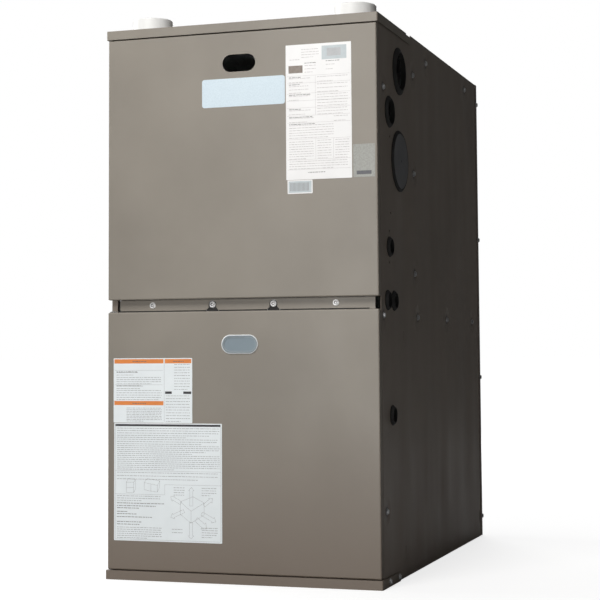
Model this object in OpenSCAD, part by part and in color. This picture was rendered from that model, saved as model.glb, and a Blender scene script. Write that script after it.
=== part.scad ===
// Upflow forced-air gas furnace with a sealed combustion pair of 2 inch pipe couplings.
// Millimetres. +Z is up, the doors face -Y, and the origin is the middle of the footprint
// on the floor. Inside in_cabinet(), y is the depth behind the front face of the trims.

/* [Cabinet] */
// Overall width across the top and base trims
cab_w = 444.5; // [430:0.5:540]
// Depth from the front trims to the rear panel
cab_d = 730; // [710:1:800]
// Height of the cabinet, without the pipe couplings
cab_h = 857; // [840:1:960]
// Thickness of the sheet steel
sheet = 1; // [0.8:0.1:1.4]
// Height of the top and base trims
trim_h = 14; // [12:0.5:20]
// How far the trims stand out past each side panel
trim_lap = 2.5; // [2:0.1:4]
// How far the trims stand out in front of the doors
trim_proud = 2; // [1:0.1:4]
// Length of the top trim's wings along the sides
top_wing = 201; // [120:1:206]
// Length of the base trim's wings along the sides
base_wing = 104; // [96:1:140]
// How far the side and rear panels rise above the top trim to take the duct
duct_rise = 3; // [2:0.5:12]
// Outer radius of the bends in the side panels
bend_r = 4; // [2:0.5:5]
// Width of the front flange of a side panel
front_flange = 11; // [9:0.5:12]
// How far the rear panel's flanges lap over the side panels
rear_lap = 15; // [14:0.5:17]

/* [Doors] */
// Depth of a door pan
door_t = 12; // [10:0.5:14]
// Outer radius of a door's edges
door_r = 2.2; // [1.6:0.1:3]
// Open height between the two doors
door_gap = 19; // [16:0.5:24]
// Clearance around the doors
door_clear = 1.2; // [0.8:0.1:2]
// Width of the finger hole in the upper door
finger_w = 54; // [40:1:70]
// Height of the finger hole in the upper door
finger_h = 27; // [20:1:34]
// Width of the sight window in the lower door
sight_w = 59; // [50:1:70]
// Height of the sight window in the lower door
sight_h = 29; // [24:1:36]
// Thickness of the upper door's lining
lining_t = 7; // [4:0.5:8]

/* [Deck and vestibule] */
// Height of the top of the blower deck
deck_z = 408; // [390:1:420]
// Depth of the front of the vestibule panel
vest_y = 208; // [200:1:215]

/* [Side openings] */
// Diameter of the upper vent knockout
vent_knock_d = 75; // [60:1:84]
// Diameter of the intake knockout
intake_knock_d = 49; // [40:1:60]
// Diameter of the plugged side vent opening
plug_d = 96; // [80:1:104]
// Diameter of the pipe, drain and wiring knockouts
small_knock_d = 31; // [28:0.5:35]
// Width of the rubber from the vent knockout's edge to its bore
vent_band = 8.5; // [5:0.5:12]
// Width of the rubber from the intake knockout's edge to its bore
intake_band = 5.5; // [4:0.5:8]
// Width of the rubber from a small knockout's edge to its bore
small_band = 4.5; // [4:0.25:6]
// Width of the rubber ring around the vent plug
plug_band = 4.5; // [4:0.5:8]
// How far the grommets stand out from the side
grommet_rise = 4.5; // [2:0.5:5]
// How far the vent plug stands out from the side
plug_rise = 3.5; // [2:0.5:5]
// How far a grommet's flange laps over the panel
grommet_lap = 2.5; // [1.5:0.1:2.8]

/* [Pipe couplings] */
// Outer diameter of a pipe coupling
coupling_d = 65; // [64:0.1:68]
// Outer diameter of the plastic pipe that fits the couplings
pipe_d = 60.3; // [60:0.1:60.6]
// Radial clearance of the pipe in its socket
socket_fit = 0.1; // [0.06:0.01:0.2]
// How far the couplings stand up over the top trim
coupling_rise = 25; // [20:1:32]
// Depth of each pipe socket
socket_depth = 38; // [30:1:39]
// Distance of a coupling's axis from the side of the cabinet
coupling_inset = 52.25; // [50:0.25:56]
// Distance of a coupling's axis behind the front face
coupling_y = 64; // [60:0.5:72]

/* [Blower] */
// Diameter of the blower wheel
wheel_d = 254; // [230:1:260]
// Width of the blower wheel
wheel_w = 200; // [170:1:206]
// Number of blades on the blower wheel
blade_count = 44; // [30:1:52]
// Width of the blower housing
housing_w = 230; // [220:1:240]
// Diameter of the blower motor
motor_d = 140; // [120:1:146]
// Length of the blower motor
motor_l = 115; // [100:1:120]
// Diameter of the blower shaft
blower_shaft_d = 12.7; // [10:0.1:16]

/* [Heat exchanger] */
// Number of burners and primary tubes
burner_count = 4; // [2:1:4]
// Distance between neighbouring burners
burner_pitch = 66; // [56:0.5:67]
// Outer diameter of a primary tube
tube_d = 44.5; // [38:0.1:46]
// Wall of a primary tube
tube_wall = 1.2; // [1:0.1:2]
// Height between the passes of a primary tube
pass_pitch = 75; // [66:0.5:76]
// Number of fins on the secondary coil
fin_count = 22; // [10:1:30]

/* [Gas train and inducer] */
// Outer diameter of the gas manifold
manifold_d = 21.3; // [18:0.1:24]
// Bore of the gas valve's inlet
gas_bore_d = 20.6; // [16:0.1:24]
// Radius of the inducer housing
inducer_r = 84; // [76:1:85]
// Diameter of the inducer shaft
inducer_shaft_d = 8; // [6:0.1:10]
// Radial running clearance of every shaft in its bearing
running_fit = 0.05; // [0.02:0.01:0.1]
// Travel of the door switch plunger
plunger_travel = 5; // [3:0.5:6]
// Travel of a reset button
button_travel = 1.5; // [1:0.1:2]

/* [Fasteners] */
// Diameter of the washer face of a sheet-metal screw
head_d = 9.5; // [8:0.1:11]
// Height of a screw's head
head_h = 3; // [2.5:0.1:4]
// Diameter of a screw's shank
shank_d = 4; // [3:0.1:4.6]
// Radial clearance of a shank in its hole
shank_fit = 0.3; // [0.2:0.05:0.5]

/* [Hidden] */
$fn = 48;
cut = 1;                       // how far a cutting tool runs past what it cuts
touch = 0.2;                   // gap between neighbours that don't bear on each other
steel = [0.55, 0.52, 0.48];
zinc = [0.72, 0.74, 0.75];
dark = [0.16, 0.16, 0.17];

front_y = -(cab_d + head_h) / 2;
trim_x = cab_w / 2;
side_x = trim_x - trim_lap;    // outer face of a side panel
in_x = side_x - sheet;         // inner face of a side panel
flange_x = side_x - front_flange;
hem_depth = 8;
duct_z = cab_h + duct_rise;
plate_z = cab_h - sheet;       // underside of the top plate
back_y = cab_d - sheet;        // inner face of the rear panel
vest_flange = 20;

door_y = trim_proud;
door_back = door_y + door_t;
wrap_y = door_back + 0.5;      // front of the side panels
door_w = cab_w - 2 * trim_lap;
gap_z0 = deck_z + 4;           // top of the lower door
gap_z1 = gap_z0 + door_gap;    // bottom of the upper door
lower_z0 = trim_h + door_clear;
lower_h = gap_z0 - lower_z0;
upper_h = cab_h - trim_h - door_clear - gap_z1;
finger_z = cab_h - 63.5;
sight_z = gap_z0 - 51;

rail_y = wrap_y + 0.8;
rail_z0 = gap_z0 + 2.1;
rail_z1 = gap_z1 - 0.3;
rail_x = flange_x - 6;
rail_screw_z = (rail_z0 + rail_z1) / 2;
rail_screw_pitch = 99.5;
deck_y = rail_y + sheet + 1.5; // front of the deck's upturned flange
tab_y = deck_y - sheet - 0.3;
deck_side_y = wrap_y + hem_depth + 0.7;
notch_r = 6.3;

coupling_x = trim_x - coupling_inset;
coupling_h = 2 * socket_depth + 4;
seal_lip = 2;                  // a grommet's lip inside the panel
coupling_z0 = cab_h + coupling_rise - coupling_h;
pipe_wall = 3.9;

// y, z, diameter and rubber width of each side knockout, and y and z of the plugged opening
small_knock_z = [deck_z + 99.5, deck_z + 18, deck_z + 18, deck_z - 156];
small_knock_y = [coupling_y + 2, coupling_y - 12, coupling_y + 25.5, coupling_y + 10.5];
knocks = concat([[132.5, cab_h - 69, vent_knock_d, vent_band],
    [coupling_y + 6.5, cab_h - 141.5, intake_knock_d, intake_band]],
    [for (i = [0:3]) [small_knock_y[i], small_knock_z[i], small_knock_d, small_band]]);
plug_at = [130, cab_h - 211.5];
pilot_d = 4.5;
pilots = [[74, cab_h - 179.5], [75.5, deck_z + 152], [66.5, deck_z + 123.5], [65, deck_z + 75.5]];
slit_at = [146, 25, cab_d - 27, 357];
slit = [2, 24];

// y and z of the screws in each side panel
deck_screws = [for (i = [0:3]) [28 + i * (cab_d - 99) / 3, deck_z - 5]];
vest_screws = [for (z = [deck_z + 65, deck_z + 227.5, cab_h - 60]) [vest_y + 14, z]];
frame_screws = [[37, cab_h - 108], [35, 111], [313, cab_h - 25], [cab_d - 111, cab_h - 22]];
side_screws_at = concat(deck_screws, vest_screws, frame_screws);
base_screws_at = [[41, 7.5], [95, 7.5]];
rear_screws_z = [for (i = [0:3]) 37 + i * (cab_h - 72.5) / 3];
rear_screw_y = cab_d - (rear_lap + bend_r) / 2;
shank_l = 8;

wheel_y = 400;
wheel_z = 200;
deck_up = deck_z - sheet - wheel_z;
scroll_r0 = wheel_d / 2 + 10;  // scroll radius at the cut-off
scroll_r1 = scroll_r0 + 55;    // scroll radius at the outlet
cutoff_a = 115;                // direction of the cut-off, from the rear
inlet_r = wheel_d / 2 - 22;
hub_r = 20;
motor_x0 = 45;
arm_r = inlet_r + 20;

burner_z = deck_z + 300;
burner_mid = coupling_x - 184;
function burner_x(i) = burner_mid + (i - (burner_count - 1) / 2) * burner_pitch;
box_x0 = burner_x(0) - 37;
box_x1 = burner_x(burner_count - 1) + 37;
box_y = 98;
box_half = 50;
burner_y0 = box_y + 6;
burner_hole_r = 20.5;
burner_l = 92;
mouth_r = 15;
throat_r = 10;
flame_r = 19;
burner_t = 1.5;                // wall of a burner
carrier_y = 44;                // the plate that holds a burner in its box
carrier_r = 30;
tube_y0 = vest_y + sheet;
front_bend_y = tube_y0 + touch + tube_d / 2 + pass_pitch / 2 + 8;
rollouts = [burner_mid - 80, burner_mid + 80];
rollout_y = 130;
rollout_z = burner_z + box_half;
button_r = 2;
button_z = 3;                  // bottom of a reset button's collar chamber
collar_t = 1.6;
rear_bend_y = cab_d - 90;
header_y = rear_bend_y + 5;
third_z = burner_z - 2 * pass_pitch;
coil_z0 = deck_z + 30;
coil_z1 = deck_z + 105;
coil_edge = 20;                // from a coil's side to its first tube

manifold_y = small_knock_y[0];
manifold_z = burner_z;
valve_gap = 68.75;             // from the left side's sheet to the valve's middle
valve_x = valve_gap - in_x;
valve_z = small_knock_z[0];
valve_half = 42;
valve_z0 = valve_z - 37.5;
valve_z1 = valve_z + 37.5;
manifold_x0 = min(valve_x, burner_x(0) - 10) - 22;
manifold_x1 = burner_x(burner_count - 1) + 22;
tee_l = 44;

inducer_x = coupling_x - 58;
inducer_z = deck_z + 120;
inducer_y0 = 92;               // front of the inducer housing
inducer_y1 = 152;              // back of the inducer housing
neck_r = pipe_d / 2;
neck_top = inducer_z + inducer_r + 14;
neck_y = inducer_y1 - neck_r - 4.8;
boot_l = 30;
sweep_z = neck_top + boot_l / 2 + 2;
sweep_h = coupling_z0 - 18 - sweep_z;
sweep_a = 2 * atan((neck_y - coupling_y) / sweep_h);
sweep_r = (neck_y - coupling_y) / (2 * (1 - cos(sweep_a)));

press_x = burner_mid - 40;
press_z = deck_z + 192;
press_r = 33;
hose_r = 3.2;
port_x = inducer_x - inducer_r - 14;
port_y = vest_y - 14;
port_z = coil_z1 + 30;
trap_x = burner_mid - 40;
trap_y0 = 42;
trap_y1 = 104;
drain_z = deck_z + 34;
grommet_y = 132;
drain_d = 21.3;
drain_wall = 2.8;

panel_y = 95;                  // front of the control panel
panel_z0 = deck_z - 138;
switch_gap = 63.75;            // from the side's front flange to the door switch
switch_x = flange_x - switch_gap;
switch_y = 24;
switch_z = deck_z - 16;
plunger_r = 4;
plunger_y0 = switch_y + 10;    // front of the plunger's collar chamber
plunger_y1 = plunger_y0 + plunger_travel + 3 + 2 * touch;

// ---- shared shapes ----

module in_cabinet() {
    translate([0, front_y, 0]) children();
}

module box(lo, hi) {
    translate(lo) cube(hi - lo);
}

module mirrored() {
    children();
    mirror([1, 0, 0]) children();
}

// a plate drawn in (y, z), from x on
module yz_plate(x, t) {
    translate([x, 0, 0]) rotate([90, 0, 90]) linear_extrude(t) children();
}

// a plate drawn in (x, z), from y on
module xz_plate(y, t) {
    translate([0, y + t, 0]) rotate([90, 0, 0]) linear_extrude(t) children();
}

module rod_x(r, x0, x1) {
    translate([x0, 0, 0]) rotate([0, 90, 0]) cylinder(r = r, h = x1 - x0);
}

module rod_y(r, y0, y1) {
    translate([0, y0, 0]) rotate([-90, 0, 0]) cylinder(r = r, h = y1 - y0);
}

module rect(x0, y0, x1, y1) {
    translate([x0, y0]) square([x1 - x0, y1 - y0]);
}

module round_rect(x0, y0, x1, y1, r) {
    rect(x0 + r, y0, x1 - r, y1);
    rect(x0, y0 + r, x1, y1 - r);
    for (x = [x0 + r, x1 - r], y = [y0 + r, y1 - r]) translate([x, y]) circle(r);
}

module stadium(w, h) {
    square([w - h, h], center = true);
    for (s = [-1, 1]) translate([s * (w - h) / 2, 0]) circle(d = h);
}

module ring(r, t) {
    difference() {
        circle(r);
        circle(r - t);
    }
}

// a quarter of a bent sheet, from +x round to +y
module bend(r, t) {
    intersection() {
        ring(r, t);
        square(r + cut);
    }
}

// a bent tube that starts at the origin going up and turns towards -y
module swept_up(r, angle) {
    translate([0, -r, 0]) rotate([90, 0, 90]) rotate_extrude(angle = angle)
        translate([r, 0]) children();
}

// hex washer head screw along +z, with its head above z = 0
module screw(l = shank_l) {
    cylinder(d = head_d, h = 1);
    difference() {
        cylinder(d = head_d * 0.74, h = head_h, $fn = 6);
        for (a = [0, 90]) rotate(a) box([-2.2, -0.5, head_h - 0.7], [2.2, 0.5, head_h + cut]);
    }
    translate([0, 0, -l]) cylinder(d = shank_d, h = l);
}

module side_bore(at, r) {
    translate([0, at[0], at[1]]) rod_x(r, in_x - 60, trim_x + cut);
}

module side_screw_bores() {
    for (p = concat(side_screws_at, base_screws_at)) side_bore(p, shank_d / 2 + shank_fit);
}

// ---- cabinet ----

module side_plan() {
    rect(in_x, wrap_y + bend_r, side_x, back_y - bend_r);
    translate([side_x - bend_r, wrap_y + bend_r]) mirror([0, 1]) bend(bend_r, sheet);
    rect(flange_x, wrap_y, side_x - bend_r, wrap_y + sheet);
    rect(flange_x, wrap_y, flange_x + sheet, wrap_y + hem_depth);
    translate([side_x - bend_r, back_y - bend_r]) bend(bend_r, sheet);
    rect(side_x - 20, back_y - sheet, side_x - bend_r, back_y);
}

module side_sheet() {
    difference() {
        translate([0, 0, sheet]) linear_extrude(duct_z - sheet) side_plan();
        box([flange_x - cut, 0, plate_z - 0.5], [trim_x, tube_y0 + cut, duct_z + cut]);
        for (k = knocks) side_bore([k[0], k[1]], k[2] / 2 - grommet_lap);
        side_bore(plug_at, plug_d / 2 - grommet_lap);
        for (p = pilots) side_bore(p, pilot_d / 2);
        side_screw_bores();
        for (y = [slit_at[0], slit_at[2]], z = [slit_at[1], slit_at[3]])
            box([in_x - cut, y, z], [side_x + cut, y + slit[0], z + slit[1]]);
        rear_screw_bores();
    }
}

module rear_screw_bores() {
    for (z = rear_screws_z) side_bore([rear_screw_y, z], shank_d / 2 + shank_fit);
}

// the right panel's front flange is cut away where the rail's end tab lies
module right_side_panel() {
    color(steel) in_cabinet() difference() {
        side_sheet();
        box([flange_x - cut, wrap_y - cut, gap_z0 + 0.2], [side_x - 1.5, wrap_y + hem_depth + cut, gap_z1]);
    }
}

module left_side_panel() {
    color(steel) in_cabinet() mirror([1, 0, 0]) side_sheet();
}

module rear_half_plan() {
    corner_x = side_x + sheet - bend_r;
    rect(0, back_y, corner_x, cab_d);
    translate([corner_x, cab_d - bend_r]) bend(bend_r, sheet);
    rect(side_x, cab_d - rear_lap, side_x + sheet, cab_d - bend_r);
}

module rear_panel() {
    color(steel) in_cabinet() difference() {
        translate([0, 0, sheet]) linear_extrude(duct_z - sheet) mirrored() rear_half_plan();
        mirrored() rear_screw_bores();
    }
}

module trim_block(z0, z1, y1) {
    translate([0, 0, z0]) linear_extrude(z1 - z0) {
        rect(-trim_x + door_r, 0, trim_x - door_r, y1);
        rect(-trim_x, door_r, trim_x, y1);
        for (s = [-1, 1]) translate([s * (trim_x - door_r), door_r]) circle(door_r);
    }
}

module top_vent_panel() {
    color(steel) in_cabinet() {
        difference() {
            trim_block(cab_h - trim_h, cab_h, top_wing);
            box([-trim_x + sheet, sheet, 0], [trim_x - sheet, top_wing + cut, plate_z]);
            mirrored() box([side_x, top_wing - 27, cab_h - 3], [trim_x + cut, top_wing + cut, cab_h + cut]);
            mirrored() coupling_hole();
        }
        difference() {
            box([-side_x, sheet, plate_z], [side_x, tube_y0, cab_h]);
            mirrored() coupling_hole();
        }
        box([-trim_x + sheet, sheet / 2, cab_h - trim_h], [trim_x - sheet, 11, cab_h - trim_h + sheet]);
    }
}

module coupling_hole() {
    translate([coupling_x, coupling_y, cab_h - trim_h]) cylinder(d = coupling_d + 1, h = trim_h + cut);
}

module base_rail() {
    color(steel) in_cabinet() {
        difference() {
            trim_block(0, trim_h, base_wing);
            box([-trim_x + sheet, sheet, sheet], [trim_x - sheet, base_wing + cut, trim_h + cut]);
            box([-trim_x + sheet, 60, -cut], [trim_x - sheet, base_wing + cut, trim_h]);
            mirrored() side_screw_bores();
        }
        box([-trim_x + sheet, sheet / 2, trim_h - sheet], [trim_x - sheet, 11, trim_h]);
    }
}

module base_frame() {
    color(zinc) in_cabinet() difference() {
        union() {
            box([-side_x, 60 + touch, 0], [side_x, cab_d, sheet]);
            mirrored() box([in_x - sheet, 62, 0], [in_x, back_y - 8, 22]);
        }
        box([-side_x + 40, 112, -cut], [side_x - 40, cab_d - 42, sheet + cut]);
        mirrored() side_screw_bores();
    }
}

module notch_outline(gap) {
    r = notch_r - gap;
    translate([0, rail_screw_z]) circle(r);
    polygon([[-r, rail_screw_z], [r, rail_screw_z], [r, rail_z0 + 4], [r + 3.6, rail_z0 - 0.4],
        [-r - 3.6, rail_z0 - 0.4], [-r, rail_z0 + 4]]);
}

module center_rail() {
    color(steel) in_cabinet() difference() {
        union() {
            xz_plate(rail_y, sheet) round_rect(-rail_x - 2, rail_z0, rail_x, rail_z1, 2);
            box([-rail_x, rail_y + sheet / 2, rail_z1 - sheet], [rail_x - 2, deck_y, rail_z1]);
            box([rail_x - 1, rail_y - 0.6, gap_z0 + 0.5], [rail_x + 8, rail_y + 0.4, rail_z1]);
        }
        for (s = [-1, 1]) translate([s * rail_screw_pitch / 2, 0, 0]) xz_plate(rail_y - cut, 2 + cut)
            notch_outline(0);
        rail_screw_bores();
    }
}

module rail_screw_bores() {
    for (i = [-1.5:1.5]) translate([i * rail_screw_pitch, 0, rail_screw_z])
        rod_y(shank_d / 2 + shank_fit, rail_y - cut, deck_y + 10);
}

module blower_deck() {
    color(zinc) in_cabinet() difference() {
        union() {
            box([-flange_x + 2, deck_y, deck_z - sheet], [flange_x - 2, 26, deck_z]);
            box([-in_x + touch, deck_side_y, deck_z - sheet], [in_x - touch, back_y - 8, deck_z]);
            box([-flange_x + 2, deck_y, deck_z - sheet], [flange_x - 2, deck_y + sheet, rail_z1 - 0.4]);
            mirrored() box([in_x - touch - sheet, deck_side_y, deck_z - 16], [in_x - touch, back_y - 8, deck_z]);
            box([-in_x + touch, back_y - 8 - sheet, deck_z - 16], [in_x - touch, back_y - 8, deck_z]);
        }
        box([-housing_w / 2 + 1, wheel_y - scroll_r1 + 1, deck_z - 5],
            [housing_w / 2 - 1, wheel_y + 11, deck_z + 1]);
        mirrored() side_screw_bores();
        rail_screw_bores();
        translate([burner_mid, grommet_y, deck_z - 5]) cylinder(d = 25, h = 10);
    }
}

module vestibule_panel() {
    color(zinc) in_cabinet() difference() {
        union() {
            box([-in_x + touch, vest_y, deck_z], [in_x - touch, tube_y0, plate_z]);
            mirrored() box([in_x - touch - sheet, vest_y, deck_z],
                [in_x - touch, vest_y + vest_flange, plate_z]);
        }
        for (i = [0:burner_count - 1]) translate([burner_x(i), 0, burner_z])
            rod_y(burner_hole_r, vest_y - cut, tube_y0 + cut);
        box([box_x0 + 20, vest_y - cut, coil_z0 + 6], [box_x1 - 14, tube_y0 + cut, coil_z1 - 5]);
        mirrored() side_screw_bores();
    }
}

// moulded cap in a rubber ring, hollow behind, with a flange inside the panel and a gate mark
module side_vent_plugs() {
    r = plug_d / 2 - plug_band - touch;
    back = sheet + seal_lip + touch;
    edge = 0.6;
    wall = 1.5;
    color([0.2, 0.21, 0.24]) in_cabinet() mirrored() translate([side_x, plug_at[0], plug_at[1]])
        rotate([0, 90, 0]) difference() {
            union() {
                translate([0, 0, -back]) cylinder(r = r, h = back + plug_rise - edge);
                translate([0, 0, plug_rise - edge]) cylinder(r1 = r, r2 = r - edge, h = edge);
                translate([0, 0, -back - sheet]) cylinder(r = r + plug_band, h = sheet);
            }
            translate([0, 0, -back - sheet - cut])
                cylinder(r = r - wall, h = back + sheet + cut + plug_rise - wall);
            translate([0, 0, plug_rise - wall / 2]) cylinder(d = 4, h = wall);
        }
}

// ---- pipe couplings ----

module coupling() {
    r = coupling_d / 2;
    bore = pipe_d / 2 + socket_fit;
    stop = pipe_d / 2 - pipe_wall;
    difference() {
        union() {
            cylinder(r = r, h = coupling_h - 2);
            cylinder(r = r - 1.2, h = coupling_h);
            translate([0, 0, coupling_h - 2]) rotate_extrude() {
                intersection() {
                    translate([r - 2, 0]) circle(2);
                    square([r + cut, 2]);
                }
                square([r - 2, 2]);
            }
        }
        translate([0, 0, -cut]) cylinder(r = stop, h = coupling_h + 2 * cut);
        translate([0, 0, -cut]) cylinder(r = bore, h = socket_depth + cut);
        translate([0, 0, coupling_h - socket_depth]) cylinder(r = bore, h = socket_depth + cut);
    }
}

module pipe_couplings() {
    color("white") in_cabinet() mirrored()
        translate([coupling_x, coupling_y, coupling_z0]) coupling();
}

// a gasket round each coupling and the boot that joins the inducer to the vent pipe
// ring in a side opening, along +z: a lip inside the panel, a groove, and a sloping flange outside
module grommet(d, band, rise) {
    hole = d / 2 - grommet_lap;
    bore = d / 2 - band;
    rotate_extrude() polygon([[bore, -sheet - seal_lip], [hole + 1, -sheet - seal_lip],
        [hole + 1, -sheet - 0.1], [hole - 0.1, -sheet - 0.1], [hole - 0.1, 0.1], [d / 2, 0.1],
        [d / 2, 1], [bore + 1.2, rise], [bore, rise]]);
}

// foam between the centre rail and the deck's flange, left out where the door tabs reach in
module rail_strip() {
    foot = notch_r + 4;
    difference() {
        box([-flange_x + 2, rail_y + sheet + 0.1, deck_z + 0.5],
            [flange_x - 2, deck_y - 0.1, rail_z1 - sheet - 0.2]);
        for (s = [-1, 1]) translate([s * rail_screw_pitch / 2, 0, 0])
            box([-foot, rail_y, deck_z], [foot, deck_y, rail_z1]);
        rail_screw_bores();
    }
}

module rubber_seals() {
    color(dark) in_cabinet() {
        rail_strip();
        mirrored() for (k = knocks) translate([side_x, k[0], k[1]]) rotate([0, 90, 0])
            grommet(k[2], k[3], grommet_rise);
        mirrored() translate([side_x, plug_at[0], plug_at[1]]) rotate([0, 90, 0])
            grommet(plug_d, plug_band, plug_rise);
        mirrored() translate([coupling_x, coupling_y, plate_z - 8])
            linear_extrude(8) ring(coupling_d / 2 + 9, 9 - 0.1);
        translate([coupling_x, neck_y, neck_top - boot_l / 2]) difference() {
            union() {
                cylinder(r = neck_r + 3.5, h = boot_l);
                for (z = [4, boot_l - 12]) translate([0, 0, z]) cylinder(r = neck_r + 4.5, h = 8);
            }
            translate([0, 0, -cut]) cylinder(r = neck_r + 0.1, h = boot_l + 2 * cut);
        }
    }
}

// ---- doors ----

module door_block(w, h, r) {
    intersection() {
        linear_extrude(h) round_rect(-w / 2, 0, w / 2, door_t + 20, r);
        yz_plate(-w / 2, w) round_rect(0, 0, door_t + 20, h, r);
        xz_plate(0, door_t) round_rect(-w / 2, 0, w / 2, h, r + 1);
    }
}

module door_pan(z0, h) {
    translate([0, door_y, z0]) difference() {
        door_block(door_w, h, door_r);
        translate([0, sheet, sheet]) door_block(door_w - 2 * sheet, h - 2 * sheet, door_r - sheet / 2);
    }
}

module upper_door() {
    color(steel) in_cabinet() difference() {
        door_pan(gap_z1, upper_h);
        translate([0, 0, finger_z]) xz_plate(door_y - cut, 5) stadium(finger_w, finger_h);
    }
}

module door_lining() {
    color([0.8, 0.8, 0.82]) in_cabinet() difference() {
        box([-flange_x + 14, door_y + sheet, gap_z1 + 22], [flange_x - 14, door_y + sheet + lining_t, cab_h - 34]);
        translate([0, 0, finger_z]) xz_plate(door_y, lining_t + 5) stadium(finger_w + 10, finger_h + 10);
    }
}

module lower_door() {
    color(steel) in_cabinet() difference() {
        door_pan(lower_z0, lower_h);
        translate([0, 0, sight_z]) xz_plate(door_y - cut, 5) stadium(sight_w - 6, sight_h - 6);
    }
}

// two dark brackets under the lower door's top edge
module door_tabs() {
    foot = notch_r + 3;
    color(dark) in_cabinet() difference() {
        for (s = [-1, 1]) translate([s * rail_screw_pitch / 2, 0, 0]) {
            xz_plate(tab_y, sheet) {
                notch_outline(0.6);
                rect(-foot, gap_z0 - 2 * sheet, foot, rail_z0);
            }
            box([-foot, door_back - 8, gap_z0 - 2 * sheet], [foot, tab_y + sheet, gap_z0 - sheet]);
        }
        rail_screw_bores();
    }
}

module sight_window() {
    color([0.5, 0.56, 0.6, 0.6]) in_cabinet() translate([0, 0, sight_z]) difference() {
        union() {
            xz_plate(door_y - 1.4, 1.4) stadium(sight_w, sight_h);
            xz_plate(door_y - 0.2, 3) stadium(sight_w - 6.6, sight_h - 6.6);
            for (s = [-1, 1]) box([-7, door_y + sheet, s * (sight_h / 2 - 2.4) - 1.6],
                [7, door_y + sheet + 2.2, s * (sight_h / 2 - 2.4) + 1.6]);
        }
        xz_plate(door_y - 2, 1.8) stadium(sight_w - 8, sight_h - 8);
        xz_plate(door_y + 1.2, 4) stadium(sight_w - 9, sight_h - 9);
    }
}

// ---- blank labels on the doors ----

module label(x0, z0, x1, z1, r = 1) {
    xz_plate(door_y - 0.25, 0.25) round_rect(x0 - trim_x, z0, x1 - trim_x, z1, r);
}

module name_plate() {
    color([0.85, 0.93, 0.97]) in_cabinet() label(161.6, cab_h - 131, 297, cab_h - 87, 4);
}

module rating_labels() {
    color("white") in_cabinet() {
        label(298.6, cab_h - 248.5, 402.5, cab_h - 42);
        label(404.7, cab_h - 248, 438, cab_h - 198.5);
        label(300.5, cab_h - 269.6, 340.3, cab_h - 249);
    }
}

module lower_cards() {
    color([0.93, 0.93, 0.9]) in_cabinet() {
        label(12.5, gap_z0 - 171, 144.3, gap_z0 - 71.5);
        label(13.5, gap_z0 - 352, 192.7, gap_z0 - 171.6);
    }
}

// ---- heat exchanger ----

module tube_ring() {
    ring(tube_d / 2, tube_wall);
}

module tube_run(z, y0, y1) {
    translate([0, y0, z]) rotate([-90, 0, 0]) linear_extrude(y1 - y0) tube_ring();
}

// a half turn in the (y, z) plane that opens towards -y and joins z to z - pass_pitch
module return_bend(y, z) {
    translate([0, y, z - pass_pitch / 2]) rotate([90, 0, 90]) rotate([0, 0, -90])
        rotate_extrude(angle = 180) translate([pass_pitch / 2, 0]) tube_ring();
}

module primary_tubes() {
    color([0.62, 0.6, 0.57]) in_cabinet() for (i = [0:burner_count - 1]) translate([burner_x(i), 0, 0]) {
        tube_run(burner_z, tube_y0, rear_bend_y);
        return_bend(rear_bend_y, burner_z);
        tube_run(burner_z - pass_pitch, front_bend_y, rear_bend_y);
        translate([0, 2 * front_bend_y, 0]) mirror([0, 1, 0])
            return_bend(front_bend_y, burner_z - pass_pitch);
        tube_run(third_z, front_bend_y, header_y);
    }
}

module rear_header() {
    t = 1.5;
    z1 = third_z + tube_d / 2 + 12;
    color([0.6, 0.6, 0.6]) in_cabinet() difference() {
        box([box_x0, header_y, coil_z0 - 5], [box_x1, cab_d - 10, z1]);
        box([box_x0 + t, header_y + t, coil_z0 - 5 + t], [box_x1 - t, cab_d - 10 - t, z1 - t]);
        for (i = [0:burner_count - 1]) translate([burner_x(i), 0, third_z])
            rod_y(tube_d / 2 - 2, header_y - cut, header_y + 5);
        box([box_x0 + 15, header_y - cut, coil_z0 + 5], [box_x1 - 15, header_y + 5, coil_z1 - 5]);
    }
}

module secondary_coil() {
    y0 = tube_y0;
    rows = 3;
    cols = 8;
    step = (box_x1 - box_x0 - 2 * coil_edge) / (cols - 1);
    fin_step = (header_y - y0 - 20) / (fin_count - 1);
    color([0.75, 0.76, 0.78]) in_cabinet() {
        for (k = [0:fin_count - 1]) translate([0, y0 + 8 + k * fin_step, 0])
            box([box_x0 + 5, 0, coil_z0 + 2], [box_x1 - 5, 0.8, coil_z1 - 2]);
        for (r = [0:rows - 1], c = [0:cols - 1])
            translate([box_x0 + coil_edge + c * step, 0, coil_z0 + 16 + r * 21.5]) rod_y(5, y0, header_y);
        for (s = [-1, 1]) translate([(box_x0 + box_x1) / 2 + s * (box_x1 - box_x0 - 8) / 2, 0, 0])
            box([-1, y0, coil_z0], [1, header_y, coil_z1]);
    }
}

module compartment_liners() {
    color([0.78, 0.78, 0.8]) in_cabinet() mirrored() difference() {
        box([in_x - 12, vest_y + vest_flange + 2, deck_z + 2], [in_x - touch, rear_screw_y - 5, cab_h - 12]);
        side_screw_bores();
    }
}

// ---- combustion side ----

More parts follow.
